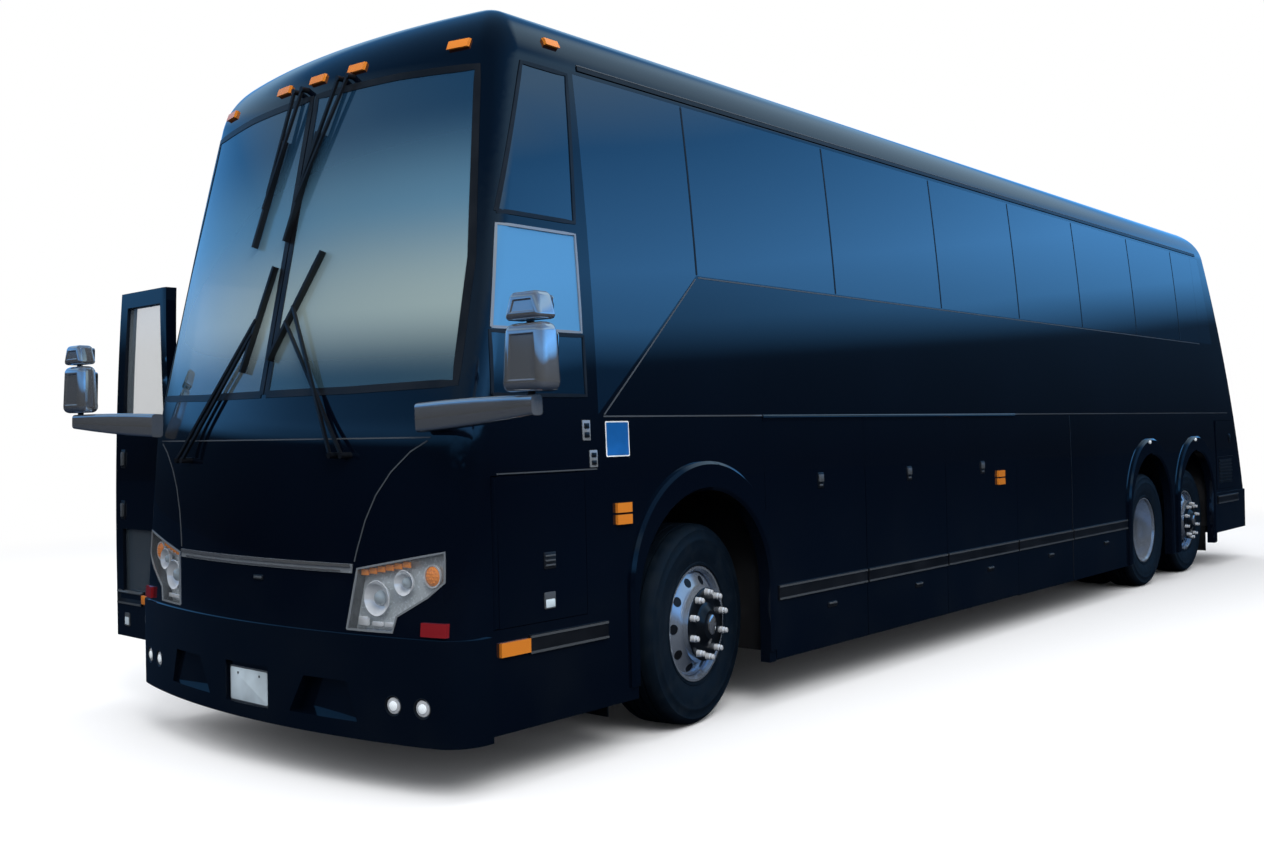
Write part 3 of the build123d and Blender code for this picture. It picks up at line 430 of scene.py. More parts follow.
def skin_of(*names):
    """A search tree over the outer faces of CAD nodes."""
    points, faces = [], []
    for name in names:
        start = len(points)
        points += [v.co.copy() for v in nodes[name].data.vertices]
        faces += [[start + i for i in face.vertices] for face in nodes[name].data.polygons]
    return BVHTree.FromPolygons(points, faces)


def flank(side, *doors):
    """One side of the coach with its doors and glass."""
    baggage_doors = [f"baggage_door_{side}_{number}" for number in (1, 2, 3)]
    return skin_of(f"body_side_{side}", "front_cap", "rear_cap", *baggage_doors, *doors, "side_glass",
                   "cab_glass", "front_bumper", "rear_bumper", "roof")


skins = {
    "left": flank("left", "service_door", "radiator_door_left"),
    "right": flank("right", "engine_side_door_right"),
    "front": skin_of("front_cap", "front_bumper", "windshields", "headlamps", "fog_lamps",
                     "entrance_door", "entrance_door_glass"),
}
look = {"left": Vector((-1, 0, 0)), "right": Vector((1, 0, 0)), "front": Vector((0, 1, 0))}
look_distance = {"left": 4, "right": 4, "front": 9}
strip_step, strip_lift, strip_root = 0.08, 0.0005, 0.002
bridged_depth = 0.05


def on_skin(side, across, up):
    """The point and outward normal where a look at the coach from that side meets its skin."""
    start = Vector((0, across, up)) if side in sides else Vector((across, 0, up))
    start -= look[side] * look_distance[side]
    spot, normal, _, _ = skins[side].ray_cast(start, look[side])
    if spot is None:
        return None
    return spot, normal if normal.dot(look[side]) < 0 else -normal


def pressed(shape, side, path, width, lift, thick, index=0):
    """Add a strip of even width that follows path over the skin, lift to lift + thick proud."""
    spots = []
    for (a0, b0), (a1, b1) in zip(path, path[1:]):
        count = max(1, math.ceil(math.hypot(a1 - a0, b1 - b0) / strip_step))
        spots += [(a0 + (a1 - a0) * i / count, b0 + (b1 - b0) * i / count) for i in range(count)]
    spots.append(path[-1])
    own = bmesh.new()
    bmesh.ops.create_grid(own, x_segments=len(spots) - 1, y_segments=1, size=0.5)
    grid = sorted(own.verts, key=lambda v: (round(v.co.x, 6), v.co.y))
    across = 1 if side in sides else 0
    last = None
    for i, (a, b) in enumerate(spots):
        before, after = spots[max(i - 1, 0)], spots[min(i + 1, len(spots) - 1)]
        along = Vector((after[0] - before[0], after[1] - before[1])).normalized()
        for j, shift in enumerate((-width / 2, width / 2)):
            u, v = a - along.y * shift, b + along.x * shift
            found = on_skin(side, u, v)
            if found is None or (last and abs((found[0] - last[0]).dot(look[side])) > bridged_depth):
                found = last
            if found is None:
                continue
            spot, normal = found
            place = spot + normal * (lift + thick)
            place[across] = u
            place.z = v
            grid[2 * i + j].co = place
            last = found
    bmesh.ops.recalc_face_normals(own, faces=own.faces)
    if sum((f.normal for f in own.faces), Vector()).dot(look[side]) > 0:
        bmesh.ops.reverse_faces(own, faces=own.faces)
    bmesh.ops.solidify(own, geom=own.faces[:], thickness=thick + strip_root)
    bmesh.ops.recalc_face_normals(own, faces=own.faces)
    joined(shape, own, None, index)


def stuck(shape, side, across, up, own, lift=0.0, index=0):
    """Set a small shape on the skin."""
    spot, normal = on_skin(side, across, up)
    joined(shape, own, frame_at(spot + normal * lift, normal), index)


# Studio, light and camera

sky_stops = ((0.0, (0.006, 0.010, 0.018)), (0.115, (0.012, 0.028, 0.055)), (0.160, (0.110, 0.400, 0.880)),
             (0.22, (0.150, 0.540, 1.200)), (0.35, (0.070, 0.290, 0.680)), (0.42, (0.240, 0.420, 0.640)),
             (0.49, (0.220, 0.420, 0.660)), (0.59, (0.040, 0.150, 0.350)), (1.0, (0.050, 0.120, 0.220)))
glow_direction = Vector((0.10, 0.78, 0.62))
floor_half, floor_drop = 90.0, 0.001
floor_fade = (8.5, 15.0)
soft_lights = (("key", (9.0, -9.0, 9.5), (0.5, -1.5, 1.2), 7.0, 1100.0),
               ("top", (0.0, 0.0, 13.0), (0.0, 0.0, 0.0), 12.0, 900.0),
               ("fill", (-9.0, -10.0, 6.0), (-0.5, -3.0, 1.2), 6.0, 320.0))
camera_place, camera_lens, film_width = (5.20, -9.24, 1.54), 35.71, 36.0
camera_degrees = (40.52, 0.25, -1.03)


def studio_floor():
    """A white floor that takes soft shadows near the coach and fades into the backdrop."""
    plane = bmesh.new()
    bmesh.ops.create_grid(plane, x_segments=1, y_segments=1, size=floor_half)
    mesh = bpy.data.meshes.new("studio_floor")
    plane.to_mesh(mesh)
    plane.free()
    ground = linked("studio_floor", mesh)
    ground.location.z = -floor_drop
    pale = Finish("studio_floor", (0.9, 0.9, 0.9), 0.9, specular_ior_level=0.0)
    seen = pale.node("ShaderNodeLightPath", out="Is Camera Ray")
    pale.set("Base Color", pale.mix(seen, (0.006, 0.012, 0.024), (0.93, 0.93, 0.93)))
    reach = pale.node("ShaderNodeVectorMath", {"operation": "LENGTH"}, {0: pale.place()}, out="Value")
    white = pale.node("ShaderNodeEmission", None, {"Color": (1, 1, 1, 1), "Strength": 1.0})
    near = Field(pale, pale.shader.outputs[0])
    mixed = pale.node("ShaderNodeMixShader", None, {0: reach.rise(*floor_fade) * seen, 1: near, 2: white})
    pale.feed(pale.tree.nodes["Material Output"].inputs["Surface"], mixed)
    mesh.materials.append(pale.material)


def studio_sky():
    """White to the camera, plain light to matt surfaces and an evening gradient to gloss ones."""
    world = bpy.data.worlds.new("studio")
    bpy.context.scene.world = world
    world.use_nodes = True
    sky = Tree(world.node_tree)
    toward = sky.node("ShaderNodeTexCoord", out="Generated")
    gradient = sky.node("ShaderNodeValToRGB", None,
                        {"Fac": sky.node("ShaderNodeSeparateXYZ", None, {0: toward}, out="Z")})
    elements = gradient.socket.node.color_ramp.elements
    for place, colour in sky_stops[1:-1]:
        elements.new(place)
    for element, (place, colour) in zip(elements, sky_stops):
        element.position = place
        element.color = (*colour, 1.0)
    dimming = sky.node("ShaderNodeMapRange", None,
                       {"Value": sky.node("ShaderNodeSeparateXYZ", None, {0: toward}, out="Y"),
                        "From Min": -0.6, "From Max": 0.2, "To Min": 0.42, "To Max": 1.0})
    dimmed = sky.node("ShaderNodeVectorMath", {"operation": "SCALE"}, {0: gradient, "Scale": dimming})
    glow = sky.node("ShaderNodeVectorMath", {"operation": "DOT_PRODUCT"},
                    {0: toward, 1: glow_direction.normalized()}, out="Value")
    mirrored = sky.mix(glow.rise(0.90, 0.99), dimmed, (0.30, 0.46, 0.62))
    camera, glossy, through = (sky.node("ShaderNodeLightPath", out=f"Is {kind} Ray")
                               for kind in ("Camera", "Glossy", "Transmission"))
    lighting = sky.mix(glossy, (0.72, 0.74, 0.78), mirrored)
    seen = sky.node("ShaderNodeMath", {"operation": "MAXIMUM"}, {0: camera, 1: through})
    shown = sky.mix(seen, lighting, (1.0, 1.0, 1.0))
    sky.feed(sky.tree.nodes["Background"].inputs["Color"], shown)


def studio_lights():
    for name, place, target, size, power in soft_lights:
        data = bpy.data.lights.new(name, "AREA")
        data.size = size
        data.energy = power
        lamp = linked(name, data)
        lamp.visible_glossy = False
        lamp.location = place
        lamp.rotation_mode = "QUATERNION"
        lamp.rotation_quaternion = (Vector(target) - Vector(place)).to_track_quat("-Z", "Y")


def photo_camera():
    """The camera of the photo, turned by its yaw, pitch and roll."""
    yaw, pitch, roll = (math.radians(angle) for angle in camera_degrees)
    ahead = Vector((-math.sin(yaw) * math.cos(pitch), math.cos(yaw) * math.cos(pitch), math.sin(pitch)))
    level = Vector((math.cos(yaw), math.sin(yaw), 0))
    right = level * math.cos(roll) + level.cross(ahead) * math.sin(roll)
    data = bpy.data.cameras.new("photo_camera")
    data.lens = camera_lens
    data.sensor_width = film_width
    data.clip_end = 400.0
    camera = linked("photo_camera", data)
    turn = Matrix((right, right.cross(ahead), -ahead)).transposed()
    camera.matrix_world = at(*camera_place) @ turn.to_4x4()
    bpy.context.scene.camera = camera


studio_floor()
studio_sky()
studio_lights()
photo_camera()
bpy.context.scene.view_settings.view_transform = "Standard"

# Lines that follow the skin. Paths are (y, z) on the sides and (x, z) on the front

pane_seams = (-4.07, -2.70, -1.32, -0.03, 1.25, 2.58, 3.84)
panel_seam = 0.81
waist_z, window_z = 1.604, 2.321
pane_foot_z, pane_top_z = 2.335, 3.22
# The second height is that of the painted highlight line on the gutter
gutter_z, gutter_highlight_z = 3.262, 3.279
quarter_pane = [(-5.462, 2.505), (-4.980, 2.505), (-4.940, 3.215), (-5.235, 3.215), (-5.462, 2.505)]
sliding_pane = [(-5.545, 1.992), (-4.985, 1.992), (-4.985, 2.448), (-5.470, 2.448), (-5.545, 1.992)]
lower_pane = [(-5.565, 1.700), (-4.975, 1.700), (-4.975, 1.975), (-5.553, 1.975), (-5.565, 1.700)]
screen_outline = [(0.022, 1.738), (0.600, 1.738), (1.185, 1.752), (1.168, 2.300), (1.052, 3.180),
                  (0.600, 3.205), (0.022, 3.212), (0.022, 1.738)]
lamp_outline = [(0.690, 0.694), (0.735, 0.955), (1.195, 1.040), (1.200, 0.915), (1.120, 0.850),
                (0.965, 0.762), (0.945, 0.694), (0.690, 0.694)]
mask_curve = [(1.085, 1.508), (1.000, 1.462), (0.900, 1.375), (0.822, 1.275), (0.768, 1.165),
              (0.732, 1.050), (0.715, 0.985)]


def strips(name, side, paths, width, thick, finish):
    """Several strips of one width as one piece of the coach."""
    shape = bmesh.new()
    for path in paths:
        pressed(shape, side, path, width, strip_lift, thick)
    finished(name, shape, "coach", finish)


def flipped(path):
    return [(-a, b) for a, b in path]


for side in sides:
    # The waist, window and swoosh lines are real seams; their grey, lighter than the paint, is a painted
    # highlight along each seam
    strips(f"waist_lines_{side}", side,
           [[(-4.86, waist_z), (5.25, waist_z)], [(-4.06, window_z), (4.46, window_z)],
            [(-4.855, 1.612), (-4.085, 2.312)]], 0.007, 0.0015, line_metal)
    strips(f"pane_gaskets_{side}", side,
           [[(y, pane_foot_z), (y, pane_top_z)] for y in pane_seams]
           + [[(panel_seam, 0.262), (panel_seam, 1.590)]], 0.012, 0.0012, gasket_grey)
    strips(f"roof_gutter_{side}", side, [[(-4.86, gutter_z), (4.66, gutter_z)]],
           0.022, 0.006, satin_black)
    # A thin grey line along the top of the gutter: a painted highlight
    strips(f"roof_highlight_{side}", side, [[(-4.86, gutter_highlight_z), (4.66, gutter_highlight_z)]],
           0.005, 0.003, line_metal)
strips("driver_window_frame", "left", [sliding_pane], 0.013, 0.005, bright_edge)
strips("lower_pane_frame", "left", [lower_pane], 0.016, 0.004, satin_black)
strips("service_line", "left", [[(-5.56, 1.360), (-4.92, 1.360)]], 0.006, 0.0012, line_metal)
for side in sides:
    strips(f"quarter_frame_{side}", side, [quarter_pane], 0.020, 0.004, satin_black)

strips("mask_lines", "front", [[(-1.10, 1.522), (1.10, 1.522)], mask_curve, flipped(mask_curve)],
       0.006, 0.0015, line_metal)
strips("screen_borders", "front", [screen_outline, flipped(screen_outline)],
       0.034, 0.003, satin_black)
strips("lamp_bezels", "front", [lamp_outline, flipped(lamp_outline)], 0.009, 0.003, bright_edge)
front_strip = bmesh.new()
pressed(front_strip, "front", [(-0.705, 0.955), (0.705, 0.955)], 0.040, 0.0, 0.004, 1)
pressed(front_strip, "front", [(-0.700, 0.968), (0.700, 0.968)], 0.014, 0.004, 0.007)
pressed(front_strip, "front", [(-0.640, 0.944), (0.640, 0.944)], 0.007, 0.004, 0.004)
finished("front_strip", front_strip, "coach", [bright_shell, bright_edge])

# Rub rails, latches and pulls on the lower panels and doors

rail_z, bead_rise, pull_z = 0.622, 0.034, 0.495


def rub_rail(shape, side, start, end, middle=rail_z):
    """A dark rail between two bright beads."""
    pressed(shape, side, [(start, middle), (end, middle)], 0.084, 0.0, 0.008)
    for z in (middle - bead_rise, middle + bead_rise):
        pressed(shape, side, [(start, z), (end, z)], 0.010, 0.008, 0.004, 1)


def latch(shape, side, y, z):
    """A recess plate with its paddle and key cover."""
    width, height = 0.062, 0.092
    paddle = slab(width * 0.80, height * 0.46, 0.006, 0.004, 0.0015)
    key_cover = slab(width * 0.55, height * 0.12, 0.003, 0.002, 0.0008)
    stuck(shape, side, y, z, slab(width, height, 0.004, 0.006, 0.001))
    stuck(shape, side, y, z + height * 0.14, paddle, 0.004, 1)
    stuck(shape, side, y, z - height * 0.30, key_cover, 0.004, 1)


def pull(shape, side, y):
    """A finger pull below the rail."""
    stuck(shape, side, y, pull_z, slab(0.100, 0.034, 0.004, 0.008, 0.001))
    stuck(shape, side, y, pull_z + 0.008, slab(0.080, 0.010, 0.006, 0.003, 0.001), 0.004, 1)


baggage_rows = ((1, -3.450, -2.492, -2.990), (2, -2.468, -1.422, -1.920), (3, -1.398, -0.272, -0.840))
rail_finishes = [satin_black, line_metal]
for side in sides:
    for number, start, end, middle in baggage_rows:
        trim = bmesh.new()
        rub_rail(trim, side, start, end)
        latch(trim, side, middle, 1.225)
        pull(trim, side, middle + 0.10)
        finished(f"door_trim_{side}_{number}", trim, f"baggage_{side}_{number}", rail_finishes)
    fixed = bmesh.new()
    rub_rail(fixed, side, -0.248, 0.798)
    rub_rail(fixed, side, 0.822, 2.060)
    rub_rail(fixed, side, 4.745, 5.480, 0.690)
    pull(fixed, side, 0.36)
    pull(fixed, side, 1.55)
    if side == "left":
        rub_rail(fixed, side, -5.385, -4.875, 0.610)
    finished(f"side_rails_{side}", fixed, "coach", rail_finishes)

# Latches of the service door, the locks beside it and the blank sign

service_trim = bmesh.new()
stuck(service_trim, "left", -5.250, 0.966, slab(0.074, 0.074, 0.004, 0.004, 0.001))
for z in (0.945, 0.966, 0.987):
    stuck(service_trim, "left", -5.250, z, slab(0.062, 0.008, 0.005, 0.002, 0.0008), 0.003, 1)
stuck(service_trim, "left", -5.254, 0.789, slab(0.070, 0.074, 0.004, 0.006, 0.001), 0.0, 1)
stuck(service_trim, "left", -5.254, 0.776, slab(0.056, 0.036, 0.003, 0.003, 0.0008), 0.004, 2)
finished("service_latches", service_trim, "service_leaf", [satin_black, line_metal, plate_white_painted_shade])
locks = bmesh.new()
for y, z, height in ((-4.985, 1.540, 0.094), (-4.943, 1.408, 0.080)):
    stuck(locks, "left", y, z, slab(0.052, height, 0.004, 0.004, 0.001), 0.0, 1)
    for share in (-0.22, 0.22):
        stuck(locks, "left", y, z + height * share, slab(0.032, height * 0.26, 0.004, 0.003, 0.001), 0.004)
finished("side_locks", locks, "coach", [satin_black, bright_edge])

sign = bmesh.new()
stuck(sign, "left", -4.768, 1.497, slab(0.168, 0.168, 0.0012, 0.006))
stuck(sign, "left", -4.768, 1.497, slab(0.156, 0.156, 0.0008, 0.004), 0.0012, 1)
finished("blank_sign", sign, "coach", [sign_white, sign_blue])

# Blank plate with its two screws

plate = bmesh.new()
stuck(plate, "front", 0.0, 0.372, slab(0.320, 0.168, 0.003, 0.012, 0.0008), 0.001, 1)
stuck(plate, "front", 0.0, 0.372, slab(0.305, 0.153, 0.002, 0.010, 0.0006), 0.004)
for x in (-0.088, 0.088):
    screw = turned([(0.006, 0.006), (0.006, 0.008), (0.003, 0.0095), (0.0, 0.0095)], 12)
    stuck(plate, "front", x, 0.425, screw, 0.0, 1)
finished("blank_plate", plate, "coach", [plate_white_painted_shade, line_metal])

# The open entrance door's face, which looks ahead at rest

door_face = bmesh.new()
rub_rail(door_face, "front", -1.955, -1.665, 0.610)
stuck(door_face, "front", -1.590, 0.610, slab(0.130, 0.052, 0.012, 0.006, 0.003), 0.0, 2)
stuck(door_face, "front", -1.845, 0.480, slab(0.058, 0.078, 0.004, 0.006, 0.001), 0.0, 1)
stuck(door_face, "front", -1.845, 0.472, slab(0.044, 0.044, 0.003, 0.003, 0.0008), 0.004, 3)
for z in (1.120, 1.420):
    stuck(door_face, "front", -1.880, z, slab(0.052, 0.110, 0.004, 0.006, 0.001))
    stuck(door_face, "front", -1.880, z, slab(0.022, 0.080, 0.012, 0.006, 0.003), 0.004, 1)
finished("door_face_trim", door_face, "entrance_leaf", [satin_black, line_metal, amber, plate_white_painted_shade])

# The small slot under the bright front strip

slot_plate = bmesh.new()
stuck(slot_plate, "front", 0.067, 0.883, slab(0.075, 0.024, 0.004, 0.004, 0.001))
stuck(slot_plate, "front", 0.067, 0.883, slab(0.060, 0.012, 0.003, 0.003, 0.0008), 0.004, 1)
finished("small_slot", slot_plate, "coach", rail_finishes)

# Small white lamps on the rear wheel openings' lips

flare_lamps = bmesh.new()
for side in sides:
    for y in (2.63, 3.99):
        button = turned([(0.016, 0.0), (0.016, 0.006), (0.012, 0.011), (0.0, 0.013)], 20)
        stuck(flare_lamps, side, y, 1.338, button)
finished("flare_lamps", flare_lamps, "coach", lit_lamp)


# Amber lamps: the CAD's own shapes, with the pair on each third baggage door riding on that door

door_lamp_y, door_lamp_reach = -0.55, 0.10


def door_lamp(face, side):
    """Whether a face is part of the lamps on the third baggage door of that side."""
    spot = face.calc_center_median()
    return abs(spot.y - door_lamp_y) < door_lamp_reach and spot.x * sides[side] > 0


def amber_lamps(name, body, wanted):
    own = bmesh.new()
    own.from_mesh(nodes["marker_lamps"].data)
    bmesh.ops.delete(own, geom=[f for f in own.faces if not wanted(f)], context="FACES")
    finished(name, own, body, amber, replaces=["marker_lamps"], angle=cad_sharp_angle)


amber_lamps("fixed_lamps", "coach", lambda f: not any(door_lamp(f, side) for side in sides))
amber_lamps("door_lamps_left", "baggage_left_3", lambda f: door_lamp(f, "left"))
amber_lamps("door_lamps_right", "baggage_right_3", lambda f: door_lamp(f, "right"))

# Side doors of the engine room: slats over a dark opening

slats_z, slat_count, slat_pitch = 0.985, 7, 0.035
for side, body in (("left", "radiator_leaf"), ("right", "engine_side_leaf")):
    grille = bmesh.new()
    pressed(grille, side, [(4.88, slats_z), (5.34, slats_z)], 0.250, 0.0, 0.002, 1)
    for i in range(slat_count):
        z = slats_z + slat_pitch * (i - slat_count // 2)
        pressed(grille, side, [(4.89, z), (5.33, z)], 0.013, 0.002, 0.006)
    latch(grille, side, 5.28, 1.33)
    pressed(grille, side, [(4.82, 1.140), (5.40, 1.140)], 0.006, 0.0, 0.0015)
    finished(f"side_grille_{side}", grille, body, [satin_black, gasket_grey])

# Headlamps: what stands behind the clear lens. The tub is the lens's own back

lamp_parts = bmesh.new()
tub = bmesh.new()
tub.from_mesh(nodes["headlamps"].data)
bmesh.ops.remove_doubles(tub, verts=tub.verts, dist=cad_weld)
bmesh.ops.delete(tub, geom=[f for f in tub.faces if f.normal.y < 0.4], context="FACES")
bmesh.ops.translate(tub, vec=(0, 0.002, 0), verts=tub.verts)
bmesh.ops.solidify(tub, geom=tub.faces[:], thickness=-0.003)
bmesh.ops.recalc_face_normals(tub, faces=tub.faces)
joined(lamp_parts, tub, None, 3)

# x and z of what is in the lamp, with each projector's radius and each low block's height
projectors = ((0.842, 0.833, 0.078), (0.985, 0.905, 0.056))
low_blocks = ((0.755, 0.730, 0.040), (0.835, 0.722, 0.022), (0.905, 0.722, 0.022))
turn_lamp_x, turn_lamp_z = 1.118, 0.937
amber_bars = [(0.762 + i * 0.046, 0.941 + i * 0.0082) for i in range(6)]


def behind_lens(own, x, z, back, index, shift=(0, 0)):
    """Set a shape of the headlamp back from the lens, looking more ahead than the lens does."""
    spot, normal = on_skin("front", x, z)
    frame_there = frame_at(spot - normal * back, (normal + Vector((0, -1.2, 0))).normalized())
    joined(lamp_parts, own, frame_there @ at(*shift, 0), index)


for s in sides.values():
    for x, z, size in projectors:
        bowl = turned([(0.018, 0.0), (size * 0.62, 0.004), (size * 0.86, 0.014), (size, 0.032),
                       (size * 0.96, 0.034), (size * 0.82, 0.017), (size * 0.58, 0.007), (0.018, 0.004)],
                      40, close=True)
        behind_lens(bowl, s * x, z, 0.044, 0)
        eye = turned([(0.0, 0.030), (size * 0.22, 0.027), (size * 0.38, 0.019), (size * 0.44, 0.008),
                      (size * 0.44, 0.003), (0.0, 0.003)], 32)
        behind_lens(eye, s * x, z, 0.042, 1)
    turn_x = s * turn_lamp_x
    dome = turned([(0.0, 0.016), (0.020, 0.015), (0.034, 0.011), (0.042, 0.004), (0.042, 0.0), (0.0, 0.0)])
    behind_lens(dome, turn_x, turn_lamp_z, 0.036, 2)
    ring = turned([(0.043, 0.0), (0.043, 0.010), (0.049, 0.010), (0.049, 0.0)], close=True)
    behind_lens(ring, turn_x, turn_lamp_z, 0.038, 0)
    for count, radius, back in ((6, 0.014, 0.022), (12, 0.029, 0.026)):
        for i in range(count):
            angle = math.tau * i / count
            bead = turned([(0.0, 0.006), (0.0035, 0.0045), (0.005, 0.0)], 8)
            shift = (radius * math.cos(angle), radius * math.sin(angle))
            behind_lens(bead, turn_x, turn_lamp_z, back, 2, shift)
    for x, z in amber_bars:
        behind_lens(slab(0.043, 0.026, 0.008, 0.002, 0.002), s * x, z, 0.024, 2)
    for x, z, tall in low_blocks:
        behind_lens(slab(0.062, tall, 0.012, 0.006, 0.003), s * x, z, 0.040, 0)
finished("lamp_insides", lamp_parts, "coach", [reflector, eye_glass, amber, tub_grey])

# Fog lamps: a dark ring, a bright bowl and a lit bulb

fog_trim = bmesh.new()
for s in sides.values():
    for x in (0.960, 1.110):
        bezel = turned([(0.036, -0.002), (0.037, 0.004), (0.043, 0.007), (0.050, 0.004), (0.051, -0.004)],
                       40, close=True)
        bowl = turned([(0.036, 0.0), (0.033, 0.003), (0.024, 0.0045), (0.0, 0.005)])
        bulb = turned([(0.021, 0.004), (0.020, 0.008), (0.012, 0.011), (0.0, 0.012)], 28)
        for own, index in ((bezel, 0), (bowl, 2), (bulb, 1)):
            stuck(fog_trim, "front", s * x, 0.387, own, 0.0, index)
finished("fog_bezels", fog_trim, "coach", [satin_black, lit_lamp, reflector])


# Mirrors: bright arms and shells, silvered faces looking back

def mirror_shell(width, depth, height, rounding, taper):
    """A rounded mirror head standing on local Z = 0, narrower at the top, with a sunk panel ahead."""
    own = lifted(block(width, depth, height), height / 2)
    for v in own.verts:
        if v.co.z > height / 2:
            v.co.x *= taper
            v.co.y *= 0.86
    ease(own, own.edges[:], rounding, 5)
    front = max(own.faces, key=lambda f: -f.normal.y * f.calc_area())
    bmesh.ops.inset_region(own, faces=[front], thickness=0.010, depth=0.0)
    bmesh.ops.inset_region(own, faces=[front], thickness=0.008, depth=-0.005)
    return own


def lengthwise(own):
    return [e for e in own.edges if abs(e.verts[0].co.x - e.verts[1].co.x) > 0.1]


def mirror_arm(length):
    """An arm along local X that gets slimmer towards its tip."""
    own = block(length, 0.068, 0.124)
    bmesh.ops.subdivide_edges(own, edges=lengthwise(own), cuts=3)
    for v in own.verts:
        share = v.co.x / length + 0.5
        v.co.z *= 1.0 - 0.36 * share ** 2
        v.co.y *= 1.0 - 0.20 * share
    ease(own, lengthwise(own), 0.017, 4)
    return own


# Each head's foot height, width, depth, height, rounding and taper
mirror_heads = ((1.690, 0.238, 0.118, 0.264, 0.036, 0.88), (1.964, 0.200, 0.104, 0.108, 0.022, 0.72))
glass_tilt = -91.8
mirror_shape = bmesh.new()
for s in sides.values():
    root, tip = Vector((s * 1.085, -5.792, 1.606)), Vector((s * 1.845, -5.866, 1.640))
    along = (tip - root).normalized()
    side_axis = Vector((0, 0, 1)).cross(along).normalized()
    basis = Matrix((along, side_axis, along.cross(side_axis))).transposed().to_4x4()
    joined(mirror_shape, mirror_arm((tip - root).length), Matrix.Translation((root + tip) / 2) @ basis, 0)
    stand = at(s * 1.810, -5.858, 0)
    for low, width, depth, height, rounding, taper in mirror_heads:
        joined(mirror_shape, mirror_shell(width, depth, height, rounding, taper), stand @ at(0, 0, low), 0)
        joined(mirror_shape, slab(width * 0.76, height * 0.74, 0.004, 0.018, 0.0015),
               stand @ at(0, depth * 0.462, low + height * 0.50) @ spin(glass_tilt, "X"), 1)
    post = turned([(0.016, 0.0), (0.016, 0.330), (0.0, 0.330)], 20)
    joined(mirror_shape, post, stand @ at(0, 0, 1.630), 2)
finished("mirror_pair", mirror_shape, "coach", [bright_shell, mirror_silver, satin_black],
         replaces=["mirrors"])

# Tyres and wheel fittings, about local Z, which points out of the wheel

half_section = [(0.286, 0.118), (0.2985, 0.1185), (0.303, 0.1300), (0.306, 0.1365), (0.317, 0.1372),
                (0.321, 0.1345), (0.345, 0.1402), (0.375, 0.1465), (0.405, 0.1490), (0.428, 0.1488),
                (0.433, 0.1500), (0.442, 0.1500), (0.447, 0.1475), (0.478, 0.1430), (0.486, 0.1440),
                (0.496, 0.1385), (0.508, 0.1270), (0.515, 0.1160), (0.519, 0.1060), (0.5205, 0.0800),
                (0.507, 0.0790), (0.507, 0.0710), (0.5215, 0.0700), (0.522, 0.0330), (0.508, 0.0320),
                (0.508, 0.0240), (0.522, 0.0230)]
tyre_section = half_section + [(r, -z) for r, z in reversed(half_section)]
disc_section = [(0.2710, 0.086), (0.2700, 0.094), (0.2640, 0.0995), (0.2560, 0.1035), (0.2020, 0.1305),
                (0.1940, 0.1370), (0.1890, 0.1480), (0.1870, 0.1700), (0.1840, 0.1765), (0.1780, 0.1780),
                (0.0900, 0.1780), (0.0900, 0.1600), (0.1780, 0.1580), (0.1960, 0.1270), (0.2540, 0.0980),
                (0.2640, 0.0860)]
nut_section = [(0.0215, 0.0), (0.0215, 0.005), (0.0182, 0.008), (0.0176, 0.035), (0.0110, 0.040),
               (0.0145, 0.045), (0.0150, 0.053), (0.0110, 0.059), (0.0, 0.061)]
drum_section = [(0.0, 0.050), (0.206, 0.050), (0.210, 0.044), (0.210, -0.085), (0.120, -0.090)]
nut_count, nut_ring = 10, 0.167
hole_ring, hole_height, hole_slope = 0.229, 0.117, 0.5
boss, valve_lean = 0.104, 0.35
twin_spacing = 0.335
single_wheel = {"face": 0.178, "hub": 0.212, "valve_foot": (0.232, 0.0, 0.112), "nut_length": 0.8}
twin_wheel = {"face": -0.125, "hub": -0.020, "valve_foot": (0.190, 0.060, -0.125), "nut_length": 1.0}


def tyre(shape, matrix):
    joined(shape, turned(tyre_section, 84, close=True), matrix, 0)


def proud_disc(shape, matrix):
    """The disc of a single wheel, which stands out past the rim's lip, with dark pads for its hand holes:
    painted shade where the holes would show dark.
    """
    joined(shape, turned(disc_section, 80, close=True), matrix, 4)
    for i in range(nut_count):
        # A dark pad on the disc: painted shade in place of a hand hole
        hole_shade_pad = turned([(0.0, 0.0010), (0.0255, 0.0010), (0.0270, -0.0050), (0.0, -0.0050)], 28)
        spot = spin(360 / nut_count * (i + 0.5), "Z") @ at(hole_ring, 0, hole_height)
        joined(shape, hole_shade_pad, matrix @ spot @ Matrix.Rotation(math.atan(hole_slope), 4, "Y"), 5)


